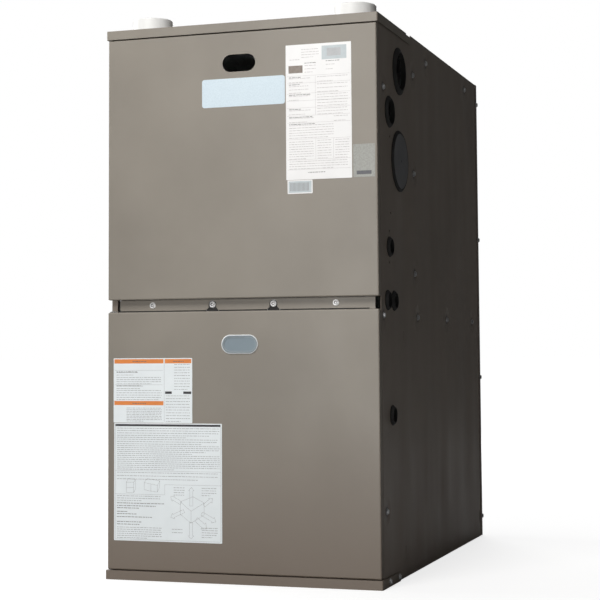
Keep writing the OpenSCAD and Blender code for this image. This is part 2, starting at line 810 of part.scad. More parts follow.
module collector_box() {
    x1 = inducer_x + inducer_r + 6;
    zt = inducer_z + inducer_r + 3;
    z0 = coil_z0 - 5;
    color(dark) in_cabinet() difference() {
        union() {
            box([box_x0 + 5, inducer_y1 + touch, z0], [x1, vest_y, coil_z1 + 12]);
            box([inducer_x - inducer_r - 4, inducer_y1 + touch, z0], [x1, vest_y, zt]);
            translate([0, port_y, port_z]) rod_x(3, port_x, port_x + 20);
            translate([trap_x, 0, drain_z]) rod_y(6, inducer_y1 - 12, inducer_y1 + 2);
        }
        box([box_x0 + 8, inducer_y1 + 3, z0 + 3], [x1 - 3, vest_y + cut, coil_z1 + 9]);
        box([inducer_x - inducer_r - 1, inducer_y1 + 3, z0 + 3], [x1 - 3, vest_y + cut, zt - 3]);
        translate([inducer_x, 0, inducer_z]) rod_y(38, inducer_y1 - cut, inducer_y1 + 5);
        translate([0, port_y, port_z]) rod_x(1.5, port_x - cut, port_x + 30);
        translate([trap_x, 0, drain_z]) rod_y(4, inducer_y1 - 13, inducer_y1 + 10);
    }
}

module inducer_housing() {
    wall = 3;
    color(dark) in_cabinet() difference() {
        union() {
            translate([inducer_x, 0, inducer_z]) rod_y(inducer_r, inducer_y0, inducer_y1);
            translate([coupling_x, neck_y, inducer_z]) cylinder(r = neck_r, h = neck_top - inducer_z);
            translate([inducer_x, 0, inducer_z]) rod_y(30, inducer_y0 - 3, inducer_y0 + 1);
        }
        translate([inducer_x, 0, inducer_z]) {
            rod_y(inducer_r - wall, inducer_y0 + wall, inducer_y1 - wall);
            rod_y(36, inducer_y1 - wall - cut, inducer_y1 + cut);
            rod_y(inducer_shaft_d / 2 + 2, inducer_y0 - 4, inducer_y0 + wall + cut);
        }
        translate([coupling_x, neck_y, inducer_z + 20]) cylinder(r = neck_r - wall, h = neck_top - inducer_z);
    }
}

module inducer_wheel() {
    n = 14;
    color(zinc) in_cabinet() translate([inducer_x, 0, inducer_z]) difference() {
        union() {
            rod_y(66, inducer_y0 + 10, inducer_y0 + 12);
            rod_y(12, inducer_y0 + 8, inducer_y0 + 30);
            for (k = [0:n - 1]) rotate([0, k * 360 / n, 0])
                box([30, inducer_y0 + 11, -0.8], [65, inducer_y0 + 38, 0.8]);
        }
        rod_y(inducer_shaft_d / 2 + 0.02, 0, 200);
    }
}

module inducer_shaft() {
    n = 6;
    color(zinc) in_cabinet() translate([inducer_x, 0, inducer_z]) {
        rod_y(inducer_shaft_d / 2, 32, inducer_y0 + 30);
        rod_y(10, 35, 44);
        for (k = [0:n - 1]) rotate([0, k * 360 / n, 0]) box([8, 34, -1], [34, 43.5, 1]);
        rod_y(35, 43, 44);
    }
}

module inducer_motor() {
    color([0.3, 0.3, 0.31]) in_cabinet() translate([inducer_x, 0, inducer_z]) difference() {
        union() {
            rod_y(40, 49, inducer_y0 - 8);
            rod_y(26, 46, 50);
            rod_y(20, inducer_y0 - 9, inducer_y0 - 3);
            for (k = [0:2]) rotate([0, 30 + k * 120, 0]) {
                box([34, inducer_y0 - 14, -7], [60, inducer_y0 - 11, 7]);
                translate([54, 0, 0]) rod_y(5, inducer_y0 - 12, inducer_y0);
            }
        }
        rod_y(inducer_shaft_d / 2 + running_fit, 0, 200);
        for (k = [0:7]) rotate([0, k * 45 + 10, 0])
            box([30, 56, -3], [42, 76, 3]);
    }
}

module vent_pipe() {
    r = pipe_d / 2;
    zt = coupling_z0 + socket_depth - 1;
    color("white") in_cabinet() translate([coupling_x, 0, 0]) {
        translate([0, neck_y, neck_top + 0.5]) linear_extrude(sweep_z - neck_top - 0.5) ring(r, pipe_wall);
        translate([0, neck_y, sweep_z]) swept_up(sweep_r, sweep_a) ring(r, pipe_wall);
        translate([0, coupling_y, sweep_z + sweep_h]) mirror([0, 0, 1]) mirror([0, 1, 0])
            swept_up(sweep_r, sweep_a) ring(r, pipe_wall);
        translate([0, coupling_y, sweep_z + sweep_h]) linear_extrude(zt - sweep_z - sweep_h) ring(r, pipe_wall);
        translate([0, (neck_y + coupling_y) / 2, sweep_z + sweep_h / 2]) rotate([sweep_a, 0, 0])
            linear_extrude(20, center = true) ring(r + 3, 4.4);
        translate([0, coupling_y, sweep_z + sweep_h - 8]) linear_extrude(16) ring(r + 3, 4.4);
        translate([0, neck_y, sweep_z - 1]) linear_extrude(12) ring(r + 3, 4.4);
    }
}

module burner_box() {
    z0 = burner_z - box_half;
    z1 = burner_z + box_half;
    color(zinc) in_cabinet() difference() {
        union() {
            box([box_x0, box_y, z0], [box_x1, vest_y, z1]);
            box([box_x0 - 8, vest_y - sheet, z0 - 8], [box_x1 + 8, vest_y, z1 + 8]);
        }
        box([box_x0 + sheet, box_y - cut, z0 + sheet], [box_x1 - sheet, vest_y + cut, z1 - sheet]);
        translate([0, 198, burner_z]) rod_x(3, box_x0 - 20, box_x1 + 20);
    }
}

module burner() {
    difference() {
        union() {
            rotate([-90, 0, 0]) rotate_extrude() polygon([[0, 0], [mouth_r, 0], [mouth_r, 6],
                [throat_r, 34], [throat_r, 52], [flame_r, burner_l - 8], [flame_r, burner_l], [0, burner_l]]);
            box([-carrier_r, carrier_y, -box_half + sheet + touch],
                [carrier_r, carrier_y + sheet, box_half - sheet - touch]);
        }
        rotate([-90, 0, 0]) translate([0, 0, -cut]) rotate_extrude() polygon([[0, 0], [mouth_r - burner_t, 0],
            [mouth_r - burner_t, 7], [throat_r - burner_t, 35], [throat_r - burner_t, 53],
            [flame_r - burner_t, burner_l - 7], [flame_r - burner_t, burner_l + 3], [0, burner_l + 3]]);
    }
}

module burners() {
    color(zinc) in_cabinet() for (i = [0:burner_count - 1])
        translate([burner_x(i), burner_y0, burner_z]) burner();
}

// a capped pipe over the burners, fed from the gas valve through a tee
module gas_manifold() {
    r = manifold_d / 2;
    color([0.25, 0.25, 0.26]) in_cabinet() translate([0, manifold_y, 0]) {
        translate([0, 0, manifold_z]) {
            rod_x(r, manifold_x0 + 2, manifold_x1);
            for (x = [manifold_x0, manifold_x1 - 8]) rod_x(r + 3, x, x + 14);
            rod_x(r + 4, valve_x - tee_l / 2 + 10, valve_x + tee_l / 2);
        }
        translate([valve_x, 0, valve_z1 + 12]) {
            cylinder(r = r + 4, h = 16);
            cylinder(r = r, h = manifold_z - valve_z1 - 12);
        }
        translate([valve_x, 0, manifold_z - tee_l / 2 - 4]) cylinder(r = r + 3.4, h = tee_l / 2);
        for (i = [0:burner_count - 1]) translate([burner_x(i), 0, manifold_z]) rod_y(8, 0, r + 3);
    }
}

module gas_orifices() {
    y0 = manifold_y + manifold_d / 2 + 3;
    color([0.75, 0.62, 0.3]) in_cabinet() for (i = [0:burner_count - 1])
        translate([burner_x(i), y0, manifold_z]) rotate([-90, 0, 0]) difference() {
            union() {
                cylinder(d = 14, h = 7, $fn = 6);
                cylinder(r1 = 5, r2 = 4, h = 18);
            }
            translate([0, 0, 6]) cylinder(r = 1.4, h = 20);
        }
}

module gas_valve() {
    color([0.7, 0.71, 0.72]) in_cabinet() translate([valve_x, manifold_y, 0]) difference() {
        union() {
            box([-valve_half, -32, valve_z0], [valve_half, 32, valve_z1]);
            box([-valve_half + 2, -30, valve_z1 - 1], [-17, 30, valve_z1 + 20]);
            translate([0, 0, valve_z1 - 1]) cylinder(r = 16, h = 13);
            translate([0, 0, valve_z]) rod_x(16, -valve_half - 12, -valve_half + 1);
            translate([24, 0, valve_z + 20]) rod_y(8, -37, -30);
            translate([24, 0, valve_z - 18]) rod_y(5, -36, -30);
        }
        translate([0, 0, valve_z]) rod_x(gas_bore_d / 2, -valve_half - 13, -valve_half + 4);
        translate([-12, 0, valve_z]) rod_y(3.5 + running_fit, -33, -20);
    }
}

module gas_knob() {
    color([0.12, 0.12, 0.13]) in_cabinet() translate([valve_x - 12, manifold_y, valve_z]) difference() {
        union() {
            rod_y(15, -43, -32.4);
            rod_y(3.5, -33, -22);
        }
        for (s = [-1, 1]) box([s * 9 - 5.5, -44, -16], [s * 9 + 5.5, -37, 16]);
        for (k = [0:11]) rotate([0, k * 30, 0]) translate([16.2, 0, 0]) rod_y(2, -44, -31);
    }
}

module igniter() {
    x = box_x1;
    color([0.85, 0.83, 0.78]) in_cabinet() translate([0, 198, burner_z]) {
        rod_x(2.7, x - 12, x + 1);
        rod_x(8, x, x + 12);
        box([x - 34, -0.6, -2.5], [x - 11, 0.6, 2.5]);
    }
}

module flame_sensor() {
    color(zinc) in_cabinet() translate([0, 198, burner_z]) {
        rod_x(1.5, box_x0 - 4, box_x0 + 30);
        rod_x(6, box_x0 - 16, box_x0 - touch);
    }
}

module rollout_switches() {
    color(dark) in_cabinet() for (x = rollouts) translate([x, rollout_y, rollout_z]) difference() {
        union() {
            box([-20, -9, 0], [20, 9, 1]);
            cylinder(r = 9, h = 11);
            for (s = [-1, 1]) box([s * 5 - 0.4, -3, 10], [s * 5 + 0.4, 3, 17]);
        }
        translate([0, 0, button_z]) cylinder(r = button_r + running_fit, h = 10);
        translate([0, 0, button_z]) cylinder(r = button_r + 2, h = collar_t + button_travel + 2 * touch);
    }
}

module rollout_button(x) {
    color([0.75, 0.1, 0.08]) in_cabinet() translate([x, rollout_y, rollout_z]) {
        translate([0, 0, button_z + touch]) cylinder(r = button_r, h = 10);
        translate([0, 0, button_z + touch]) cylinder(r = button_r + 1.8, h = collar_t);
        translate([0, 0, 11.3]) cylinder(r = button_r + 1, h = 2.2);
    }
}

module rollout_button_left() {
    rollout_button(rollouts[0]);
}

module rollout_button_right() {
    rollout_button(rollouts[1]);
}

module limit_switch() {
    color(dark) in_cabinet() translate([box_x0 + 22, 0, deck_z + 190]) {
        box([-20, vest_y - 2, -14], [20, vest_y, 14]);
        rod_y(12, vest_y - 16, vest_y - 1);
        for (s = [-1, 1]) box([s * 6 - 0.4, vest_y - 24, -3], [s * 6 + 0.4, vest_y - 15, 3]);
    }
}

module pressure_switch() {
    color([0.2, 0.2, 0.22]) in_cabinet() translate([press_x, 0, press_z]) difference() {
        union() {
            box([-30, vest_y - 1, -38], [30, vest_y, 38]);
            rod_y(press_r, vest_y - 26, vest_y - 1);
            rod_y(press_r - 5, vest_y - 32, vest_y - 20);
            translate([0, port_y, -press_r - 6]) cylinder(r = 3, h = 12);
            for (s = [-1, 1]) box([s * 14 - 3, vest_y - 40, -1], [s * 14 + 3, vest_y - 31, 0]);
        }
        translate([0, port_y, -press_r - 7]) cylinder(r = 1.4, h = 20);
    }
}

// the sensing hose, from the switch's nipple down and across to the collector box
module pressure_hose() {
    r = 12;
    color([0.75, 0.2, 0.12]) in_cabinet() translate([press_x, port_y, 0]) {
        lead(concat([[0, 0, press_z - press_r - 6]],
            [for (a = [0:22.5:90]) [r * (1 - cos(a)), 0, port_z + r * (1 - sin(a))]],
            [[port_x - press_x, 0, port_z]]), hose_r);
    }
}

module condensate_trap() {
    color([0.9, 0.9, 0.88]) in_cabinet() difference() {
        union() {
            box([trap_x - 42, trap_y0, deck_z], [trap_x + 42, trap_y1, drain_z + 14]);
            box([trap_x - 46, trap_y0 - 3, drain_z + 6], [trap_x + 46, trap_y1 + 3, drain_z + 12]);
            for (s = [-1, 1]) translate([trap_x + s * 24, trap_y0 + 20, drain_z]) cylinder(r = 7, h = 22);
        }
        translate([trap_x, 0, drain_z]) rod_y(4, trap_y1 - 10, trap_y1 + 4);
        translate([0, small_knock_y[2], small_knock_z[2]]) rod_x(drain_d / 4, trap_x + 20, trap_x + 50);
    }
}

module drain_pipes() {
    color("white") in_cabinet() {
        translate([trap_x + 42, small_knock_y[2], small_knock_z[2]]) rotate([0, 90, 0])
            linear_extrude(in_x - 6 - trap_x - 42) ring(drain_d / 2, drain_wall);
        translate([trap_x, trap_y1, drain_z]) rotate([-90, 0, 0])
            linear_extrude(inducer_y1 - 12 - trap_y1) ring(6, 2);
    }
}

// ---- blower ----

function scroll_r(a) = scroll_r1 - (scroll_r1 - scroll_r0) * (a - 180) / (180 + cutoff_a);
function scroll_pt(a, off) = [(scroll_r(a) + off) * cos(a), (scroll_r(a) + off) * sin(a)];

// side view of the scroll in (y, z) about the wheel's axis, open at the deck
module scroll_outline(off) {
    steps = 40;
    a1 = 360 + cutoff_a;
    polygon(concat([[-scroll_r1 - off, deck_up]],
        [for (k = [0:steps]) scroll_pt(180 + k * (a1 - 180) / steps, off)],
        [[12 + off, deck_up - 2], [12 + off, deck_up + (off < 0 ? cut : 0)],
            [-scroll_r1 - off, deck_up + (off < 0 ? cut : 0)]]));
}

module blower_housing() {
    t = 1.2;
    h = housing_w / 2;
    color(zinc) in_cabinet() translate([0, wheel_y, wheel_z]) {
        for (s = [-h, h - t]) yz_plate(s, t) difference() {
            scroll_outline(0);
            circle(inlet_r);
        }
        yz_plate(-h + t / 2, 2 * h - t) difference() {
            scroll_outline(0);
            scroll_outline(-t);
        }
        for (s = [-1, 1]) rotate([0, s * 90, 0]) translate([0, 0, h - t]) inlet_ring();
    }
}

// a rolled inlet, its mouth flaring out of the housing and its throat towards the wheel
module inlet_ring() {
    t = 1.2;
    r = 14;
    rotate_extrude() translate([inlet_r + r - t, -r + t]) intersection() {
        ring(r, t);
        translate([-r - cut, 0]) square([r + cut, r + cut]);
    }
}

// two end rings, the blades between them, and a centre plate with its hub, each piece
// clear of the next by touch where the real ones are crimped together
module blower_wheel() {
    ro = wheel_d / 2;
    ri = inlet_r;
    w = wheel_w / 2;
    ring_t = 2;
    blade_l = 2 * (w - ring_t - touch);
    color(zinc) in_cabinet() translate([0, wheel_y, wheel_z]) {
        for (x = [-w, w - ring_t]) yz_plate(x, ring_t) ring(ro, ro - ri + 1);
        for (k = [0:blade_count - 1])
            yz_plate(-blade_l / 2, blade_l) rotate(k * 360 / blade_count) blade_outline(ri, ro);
        difference() {
            union() {
                yz_plate(-1, 2) circle(ri + 0.5 - touch);
                rod_x(hub_r, -16, 16);
            }
            rod_x(blower_shaft_d / 2 + 0.02, -w, w);
        }
    }
}

// a forward-curved blade between two radii
module blade_outline(ri, ro) {
    polygon([[ri + 0.5, 0], [ri + 8, 1.2], [ro - 6, 5], [ro - 1, 10], [ro - 2.2, 10.6],
        [ro - 7.2, 6.2], [ri + 7.6, 2.4], [ri + 0.5, 1.2]]);
}

module blower_shaft() {
    color(zinc) in_cabinet() translate([0, wheel_y, wheel_z])
        rod_x(blower_shaft_d / 2, -24, motor_x0 + motor_l - 8);
}

module blower_motor() {
    r = motor_d / 2;
    x0 = motor_x0;
    x1 = motor_x0 + motor_l;
    color([0.18, 0.18, 0.2]) in_cabinet() translate([0, wheel_y, wheel_z]) difference() {
        union() {
            rod_x(r, x0 + 12, x1 - 12);
            rod_x(r - 5, x0, x1);
            rod_x(18, x0 - 5, x0 + 2);
        }
        rod_x(blower_shaft_d / 2 + running_fit, x0 - 10, x1 - 7);
        for (k = [0:15]) rotate([k * 22.5, 0, 0])
            box([x0 + 14, r - 12, -3], [x0 + 18, r + 1, 3]);
    }
}

module motor_mount() {
    r = motor_d / 2;
    x = housing_w / 2;
    color(zinc) in_cabinet() translate([0, wheel_y, wheel_z]) {
        difference() {
            rod_x(r + 2.2, x - 2, x + 26);
            rod_x(r + 0.1, x - 10, x + 40);
        }
        for (k = [0:2]) rotate([k * 120 + 60, 0, 0]) {
            box([x + 6, r + 1.5, -8], [x + 8, arm_r, 8]);
            box([x + touch, arm_r - 2, -8], [x + 8, arm_r, 8]);
        }
    }
}

// ---- controls ----

module control_panel() {
    color(zinc) in_cabinet() difference() {
        union() {
            box([-115, panel_y, panel_z0], [115, panel_y + sheet, deck_z - sheet]);
            box([-115, panel_y, deck_z - 2 * sheet], [115, panel_y + 22, deck_z - sheet]);
            box([-115, panel_y - 14, panel_z0], [115, panel_y + sheet, panel_z0 + sheet]);
        }
        translate([burner_mid, 0, deck_z - 9]) xz_plate(panel_y - cut, sheet + 2 * cut) stadium(22, 9);
    }
}

module control_board() {
    y = panel_y;
    color([0.1, 0.32, 0.18]) in_cabinet() {
        box([-100, y - 10, deck_z - 118], [20, y - 8.4, deck_z - 16]);
        for (x = [-92, 12], z = [deck_z - 110, deck_z - 24]) translate([x, 0, z]) rod_y(3, y - 9, y);
        for (i = [0:2]) box([-90 + i * 30, y - 28, deck_z - 106], [-68 + i * 30, y - 9.5, deck_z - 88]);
        box([-88, y - 20, deck_z - 34], [0, y - 9.5, deck_z - 24]);
        box([-60, y - 14, deck_z - 70], [-36, y - 9.5, deck_z - 50]);
    }
}

module transformer() {
    y1 = panel_y;
    color([0.35, 0.3, 0.25]) in_cabinet() translate([70, 0, deck_z - 70]) {
        box([-28, y1 - 1, -34], [28, y1, 34]);
        box([-22, y1 - 40, -24], [22, y1 - 1, 24]);
        box([-14, y1 - 46, -17], [14, y1 - 39, 17]);
        for (s = [-1, 1]) box([-16, y1 - 36, s * 29 - 6], [16, y1 - 6, s * 29 + 6]);
    }
}

module door_switch() {
    color(dark) in_cabinet() difference() {
        union() {
            box([switch_x - 15, switch_y, switch_z - 9], [switch_x + 15, plunger_y1 + 6, deck_z - sheet]);
            translate([switch_x, 0, switch_z]) rod_y(7, switch_y - 3, switch_y + 1);
        }
        translate([switch_x, 0, switch_z]) {
            rod_y(plunger_r + running_fit, switch_y - 4, plunger_y1);
            rod_y(plunger_r + 2.2, plunger_y0, plunger_y1);
        }
    }
}

module switch_plunger() {
    color([0.9, 0.9, 0.88]) in_cabinet() translate([switch_x, 0, switch_z]) {
        rod_y(plunger_r, door_y + sheet + 0.6, plunger_y1 - touch);
        rod_y(plunger_r + 2, plunger_y1 - touch - 3, plunger_y1 - touch);
    }
}

module capacitor() {
    r = 22;
    x = -housing_w / 2 - r - 2;
    color([0.6, 0.62, 0.64]) in_cabinet() translate([x, wheel_y - 140, deck_z - 118]) {
        cylinder(r = r, h = 84);
        translate([0, 0, 84]) cylinder(r = r - 5, h = 5);
        for (s = [-1, 1]) box([s * 8 - 0.5, -3, 88], [s * 8 + 0.5, 3, 98]);
        translate([0, 0, 32]) cylinder(r = r + 1, h = 18);
        box([r - 3, -34, 32], [r + 2, 34, 50]);
    }
}

// a lead of straight stretches, each run on a little so that the corners close
module lead(points, r) {
    last = len(points) - 2;
    for (i = [0:last]) {
        d = points[i + 1] - points[i];
        run_on = i < last ? r / 2 : 0;
        translate(points[i]) rotate([0, acos(d[2] / norm(d)), atan2(d[1], d[0])])
            cylinder(r = r, h = norm(d) + run_on);
    }
}

// three leads side by side from the board, up through the deck, to what each one feeds
module wiring_harness() {
    z = deck_z + 96;
    y = grommet_y;
    ends = [
        [[burner_mid - 60, y - 5, valve_z1 + 25], [valve_x - 28, y - 15, valve_z1 + 11],
            [valve_x - 28, manifold_y + 30, valve_z1 + 11]],
        [[press_x + 17, vest_y - 57, press_z - 24], [press_x + 14, vest_y - 41, press_z - 0.5]],
        [[burner_mid + 34, 84, inducer_z - 5], [inducer_x - 41, 66, inducer_z]]
    ];
    color([0.1, 0.1, 0.35]) in_cabinet() for (k = [0:2]) {
        x = burner_mid + (k - 1) * 6;
        lead(concat([[x - 3, panel_y - 15, deck_z - 24], [x - 3, panel_y - 15, deck_z - 12],
            [x, panel_y - 7, deck_z - 9], [x, y, deck_z - 9], [x, y, z]], ends[k]), 2);
    }
}

// ---- fasteners ----

module tab_screws() {
    color(zinc) in_cabinet() for (s = [-1, 1])
        translate([s * rail_screw_pitch / 2, tab_y, rail_screw_z]) rotate([90, 0, 0]) screw();
}

module screws() {
    color(zinc) in_cabinet() {
        mirrored() {
            for (p = side_screws_at) translate([side_x, p[0], p[1]]) rotate([0, 90, 0]) screw();
            for (p = base_screws_at) translate([trim_x, p[0], p[1]]) rotate([0, 90, 0]) screw();
            for (z = rear_screws_z) translate([side_x + sheet, rear_screw_y, z]) rotate([0, 90, 0]) screw();
        }
        for (s = [-1, 1]) translate([s * 1.5 * rail_screw_pitch, rail_y, rail_screw_z])
            rotate([90, 0, 0]) screw();
    }
}

left_side_panel();
right_side_panel();
rear_panel();
top_vent_panel();
base_rail();
base_frame();
center_rail();
blower_deck();
vestibule_panel();
side_vent_plugs();
pipe_couplings();
rubber_seals();
upper_door();
door_lining();
lower_door();
door_tabs();
sight_window();
name_plate();
rating_labels();
lower_cards();
primary_tubes();
rear_header();
secondary_coil();
compartment_liners();
collector_box();
inducer_housing();
inducer_wheel();
inducer_shaft();
inducer_motor();
vent_pipe();
burner_box();
burners();
gas_manifold();
gas_orifices();
gas_valve();
gas_knob();
igniter();
flame_sensor();
rollout_switches();
rollout_button_left();
rollout_button_right();
limit_switch();
pressure_switch();
pressure_hose();
condensate_trap();
drain_pipes();
blower_housing();
blower_wheel();
blower_shaft();
blower_motor();
motor_mount();
capacitor();
control_panel();
control_board();
transformer();
door_switch();
switch_plunger();
wiring_harness();
tab_screws();
screws();
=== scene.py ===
import math
import random
import bmesh
import bpy
from mathutils import Matrix, Vector


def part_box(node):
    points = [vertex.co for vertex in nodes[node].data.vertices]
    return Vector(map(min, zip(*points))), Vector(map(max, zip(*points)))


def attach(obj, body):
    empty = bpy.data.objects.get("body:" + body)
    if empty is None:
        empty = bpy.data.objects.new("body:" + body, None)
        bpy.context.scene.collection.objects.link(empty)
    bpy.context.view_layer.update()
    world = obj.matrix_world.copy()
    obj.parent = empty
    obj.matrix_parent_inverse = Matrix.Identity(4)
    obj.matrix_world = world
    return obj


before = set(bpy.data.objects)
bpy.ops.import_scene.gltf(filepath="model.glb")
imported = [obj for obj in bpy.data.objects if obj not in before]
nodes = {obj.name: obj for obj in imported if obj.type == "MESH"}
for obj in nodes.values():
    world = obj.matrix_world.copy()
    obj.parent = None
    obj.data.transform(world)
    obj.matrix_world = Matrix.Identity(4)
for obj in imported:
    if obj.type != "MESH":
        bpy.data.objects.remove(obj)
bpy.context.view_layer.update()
scene = bpy.context.scene
mm = 0.001
halfWidth = 222.25  # of the cabinet, in mm
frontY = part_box("base_rail")[0].y
print("frame loaded:", len(nodes), "nodes")

# the camera stands low, in front of the right-hand corner, as the photograph's did
cameraView = {"place": (0.8356, -2.6148, 0.3498), "yaw": 18.161, "pitch": 4.042, "roll": -0.373,
              "lens": 94.44, "sensor": 36, "shift": -0.1}


def placeCamera(view):
    yaw, pitch, roll = (math.radians(view[k]) for k in ("yaw", "pitch", "roll"))
    ahead = Vector((-math.sin(yaw) * math.cos(pitch), math.cos(yaw) * math.cos(pitch), math.sin(pitch)))
    right = Vector((math.cos(yaw), math.sin(yaw), 0))
    up = right.cross(ahead)
    turnedRight = right * math.cos(roll) + up * math.sin(roll)
    turnedUp = up * math.cos(roll) - right * math.sin(roll)
    data = bpy.data.cameras.new("camera")
    data.lens, data.sensor_width, data.shift_y = view["lens"], view["sensor"], view["shift"]
    camera = bpy.data.objects.new("camera", data)
    turn = Matrix((turnedRight, turnedUp, -ahead)).transposed().to_4x4()
    camera.matrix_world = Matrix.Translation(view["place"]) @ turn
    scene.collection.objects.link(camera)
    scene.camera = camera


placeCamera(cameraView)

# a soft key high in front leaves the right side in shade, and a low lamp lifts the lower door;
# two big fills stand left and behind, and a faint warm one on the right
studio = {
    "key": {"place": (-0.3, -2.1, 2.05), "aim": (0, -0.37, 0.85), "size": 1.0, "power": 39,
            "colour": (1.0, 0.99, 0.975)},
    "low": {"place": (-0.15, -3.1, 0.55), "aim": (0, -0.37, 1.0), "size": 0.7, "power": 24,
            "colour": (1.0, 0.99, 0.98)},
    "left": {"place": (-3.0, 0.2, 1.8), "aim": (0, 0, 0.5), "size": 2.0, "power": 60,
             "colour": (0.97, 0.985, 1.0)},
    "back": {"place": (-0.8, 3.2, 1.9), "aim": (0, 0.3, 0.5), "size": 2.0, "power": 60,
             "colour": (1.0, 1.0, 1.0)},
    "right": {"place": (3.2, -0.9, 1.9), "aim": (0.2, 0, 0.55), "size": 0.5, "power": 3.3,
              "colour": (1.0, 0.95, 0.91)},
}


def addLight(name, look):
    data = bpy.data.lights.new(name, "AREA")
    data.shape, data.size = "SQUARE", look["size"]
    data.energy, data.color = look["power"], look["colour"]
    lamp = bpy.data.objects.new(name, data)
    way = Vector(look["aim"]) - Vector(look["place"])
    turn = way.to_track_quat("-Z", "Y").to_matrix().to_4x4()
    lamp.matrix_world = Matrix.Translation(look["place"]) @ turn
    scene.collection.objects.link(lamp)


for lampName, lampLook in studio.items():
    addLight(lampName, lampLook)

# the background is white to the camera and only a faint fill to everything else
surround = {"colour": (1, 1, 1, 1), "light": 0.06, "seen": 1.0}


def addSurround(look):
    world = bpy.data.worlds.new("surround")
    scene.world = world
    world.use_nodes = True
    tree = world.node_tree
    sky = tree.nodes["Background"]
    sky.inputs["Color"].default_value = look["colour"]
    sight = tree.nodes.new("ShaderNodeLightPath")
    level = tree.nodes.new("ShaderNodeMapRange")
    level.inputs["To Min"].default_value = look["light"]
    level.inputs["To Max"].default_value = look["seen"]
    tree.links.new(sight.outputs["Is Camera Ray"], level.inputs["Value"])
    tree.links.new(level.outputs["Result"], sky.inputs["Strength"])


addSurround(surround)
scene.view_settings.view_transform = "Standard"
scene.view_settings.look = "None"
print("camera and", len(studio), "lamps placed")


# small helpers for node trees
def addNode(tree, kind, **settings):
    node = tree.nodes.new(kind)
    for key, value in settings.items():
        setattr(node, key, value)
    return node


def startFinish(name):
    finish = bpy.data.materials.new(name)
    finish.use_nodes = True
    tree = finish.node_tree
    place = addNode(tree, "ShaderNodeTexCoord")
    return finish, tree, tree.nodes["Principled BSDF"], place.outputs["Object"]


def addMapping(tree, source, scale):
    mapping = addNode(tree, "ShaderNodeMapping")
    mapping.inputs["Scale"].default_value = scale
    tree.links.new(source, mapping.inputs["Vector"])
    return mapping.outputs["Vector"]


def addNoise(tree, source, scale, detail=3, rough=0.55, warp=0.0):
    noise = addNode(tree, "ShaderNodeTexNoise")
    noise.inputs["Scale"].default_value = scale
    noise.inputs["Detail"].default_value = detail
    noise.inputs["Roughness"].default_value = rough
    noise.inputs["Distortion"].default_value = warp
    tree.links.new(source, noise.inputs["Vector"])
    return noise.outputs["Fac"]


def addRange(tree, value, low, high, to0=0.0, to1=1.0, smooth=False):
    span = addNode(tree, "ShaderNodeMapRange")
    if smooth:
        span.interpolation_type = "SMOOTHSTEP"
    for key, number in (("From Min", low), ("From Max", high), ("To Min", to0), ("To Max", to1)):
        span.inputs[key].default_value = number
    tree.links.new(value, span.inputs["Value"])
    return span.outputs["Result"]


def addMix(tree, factor, first, second):
    mix = addNode(tree, "ShaderNodeMix", data_type="RGBA")
    for key, colour in ((6, first), (7, second)):
        if isinstance(colour, (tuple, list)):
            mix.inputs[key].default_value = (*colour[:3], 1)
        else:
            tree.links.new(colour, mix.inputs[key])
    tree.links.new(factor, mix.inputs[0])
    return mix.outputs[2]


def addMath(tree, kind, first, second):
    sums = addNode(tree, "ShaderNodeMath", operation=kind)
    for k, value in enumerate((first, second)):
        if isinstance(value, (int, float)):
            sums.inputs[k].default_value = value
        else:
            tree.links.new(value, sums.inputs[k])
    return sums.outputs[0]


def addBump(tree, shader, height, strength, distance):
    bump = addNode(tree, "ShaderNodeBump")
    bump.inputs["Strength"].default_value = strength
    bump.inputs["Distance"].default_value = distance
    tree.links.new(height, bump.inputs["Height"])
    tree.links.new(bump.outputs["Normal"], shader.inputs["Normal"])


# a place with only the two named axes kept, so that a distance ignores the third
def flatten(tree, place, axes):
    apart = addNode(tree, "ShaderNodeSeparateXYZ")
    flat = addNode(tree, "ShaderNodeCombineXYZ")
    tree.links.new(place, apart.inputs[0])
    for axis in axes:
        tree.links.new(apart.outputs[axis], flat.inputs[axis])
    return flat.outputs[0]


def addReach(tree, flat, spot):
    reach = addNode(tree, "ShaderNodeVectorMath", operation="DISTANCE")
    reach.inputs[1].default_value = spot
    tree.links.new(flat, reach.inputs[0])
    return reach.outputs["Value"]


toneSpan = (0.35, 0.65)  # the stretch of a noise that carries a change of tone
glossSpan = (0.3, 0.7)   # and the one that carries a change of gloss

# powder coat: a fine orange peel, a slow drift of tone, painted shade that darkens and warms it towards the
# floor, slack in the big sheets
cabinetPaint = {"colour": (0.27, 0.243, 0.205), "shade": (0.235, 0.211, 0.178), "drift": 5,
                "dust": (0.33, 0.30, 0.26), "speck": 900, "speckSpan": (0.7, 0.78), "speckTone": 0.25,
                "floorShade": (0.19, 0.153, 0.122), "floorShadeTop": 0.28,
                "rough": (0.36, 0.5), "smear": 14, "smearScale": (1, 1, 0.25), "index": 1.5,
                "peel": 1400, "peelDeep": 0.00003, "slack": 2.6, "slackDeep": 0.006}
# painted shade: the rear and side sheets take a darker, redder copy of the front's paint, standing in for the
# shade on sheets turned away from the key
shadedBackPaint = dict(cabinetPaint, colour=(0.262, 0.222, 0.186), shade=(0.228, 0.193, 0.162),
                 floorShade=(0.21, 0.168, 0.138))
# the side sheets ripple too, and sink round their screws, each ringed with painted shadow, the screws given
# in mm from the front and the floor
shadedSidePaint = dict(shadedBackPaint, ripple=(1, 9, 1.6), rippleDeep=0.011, dimple=(0.003, 0.024), sink=-0.0034,
                 rim=(0.05, 0.04, 0.033), screwShadeSpan=(0.0055, 0.011), screwShadeTone=0.75,
                 screws=[(28, 403), (238.3, 403), (448.7, 403), (659, 403), (222, 473), (222, 635.5),
                         (222, 797), (37, 749), (35, 111), (313, 832), (619, 835)])


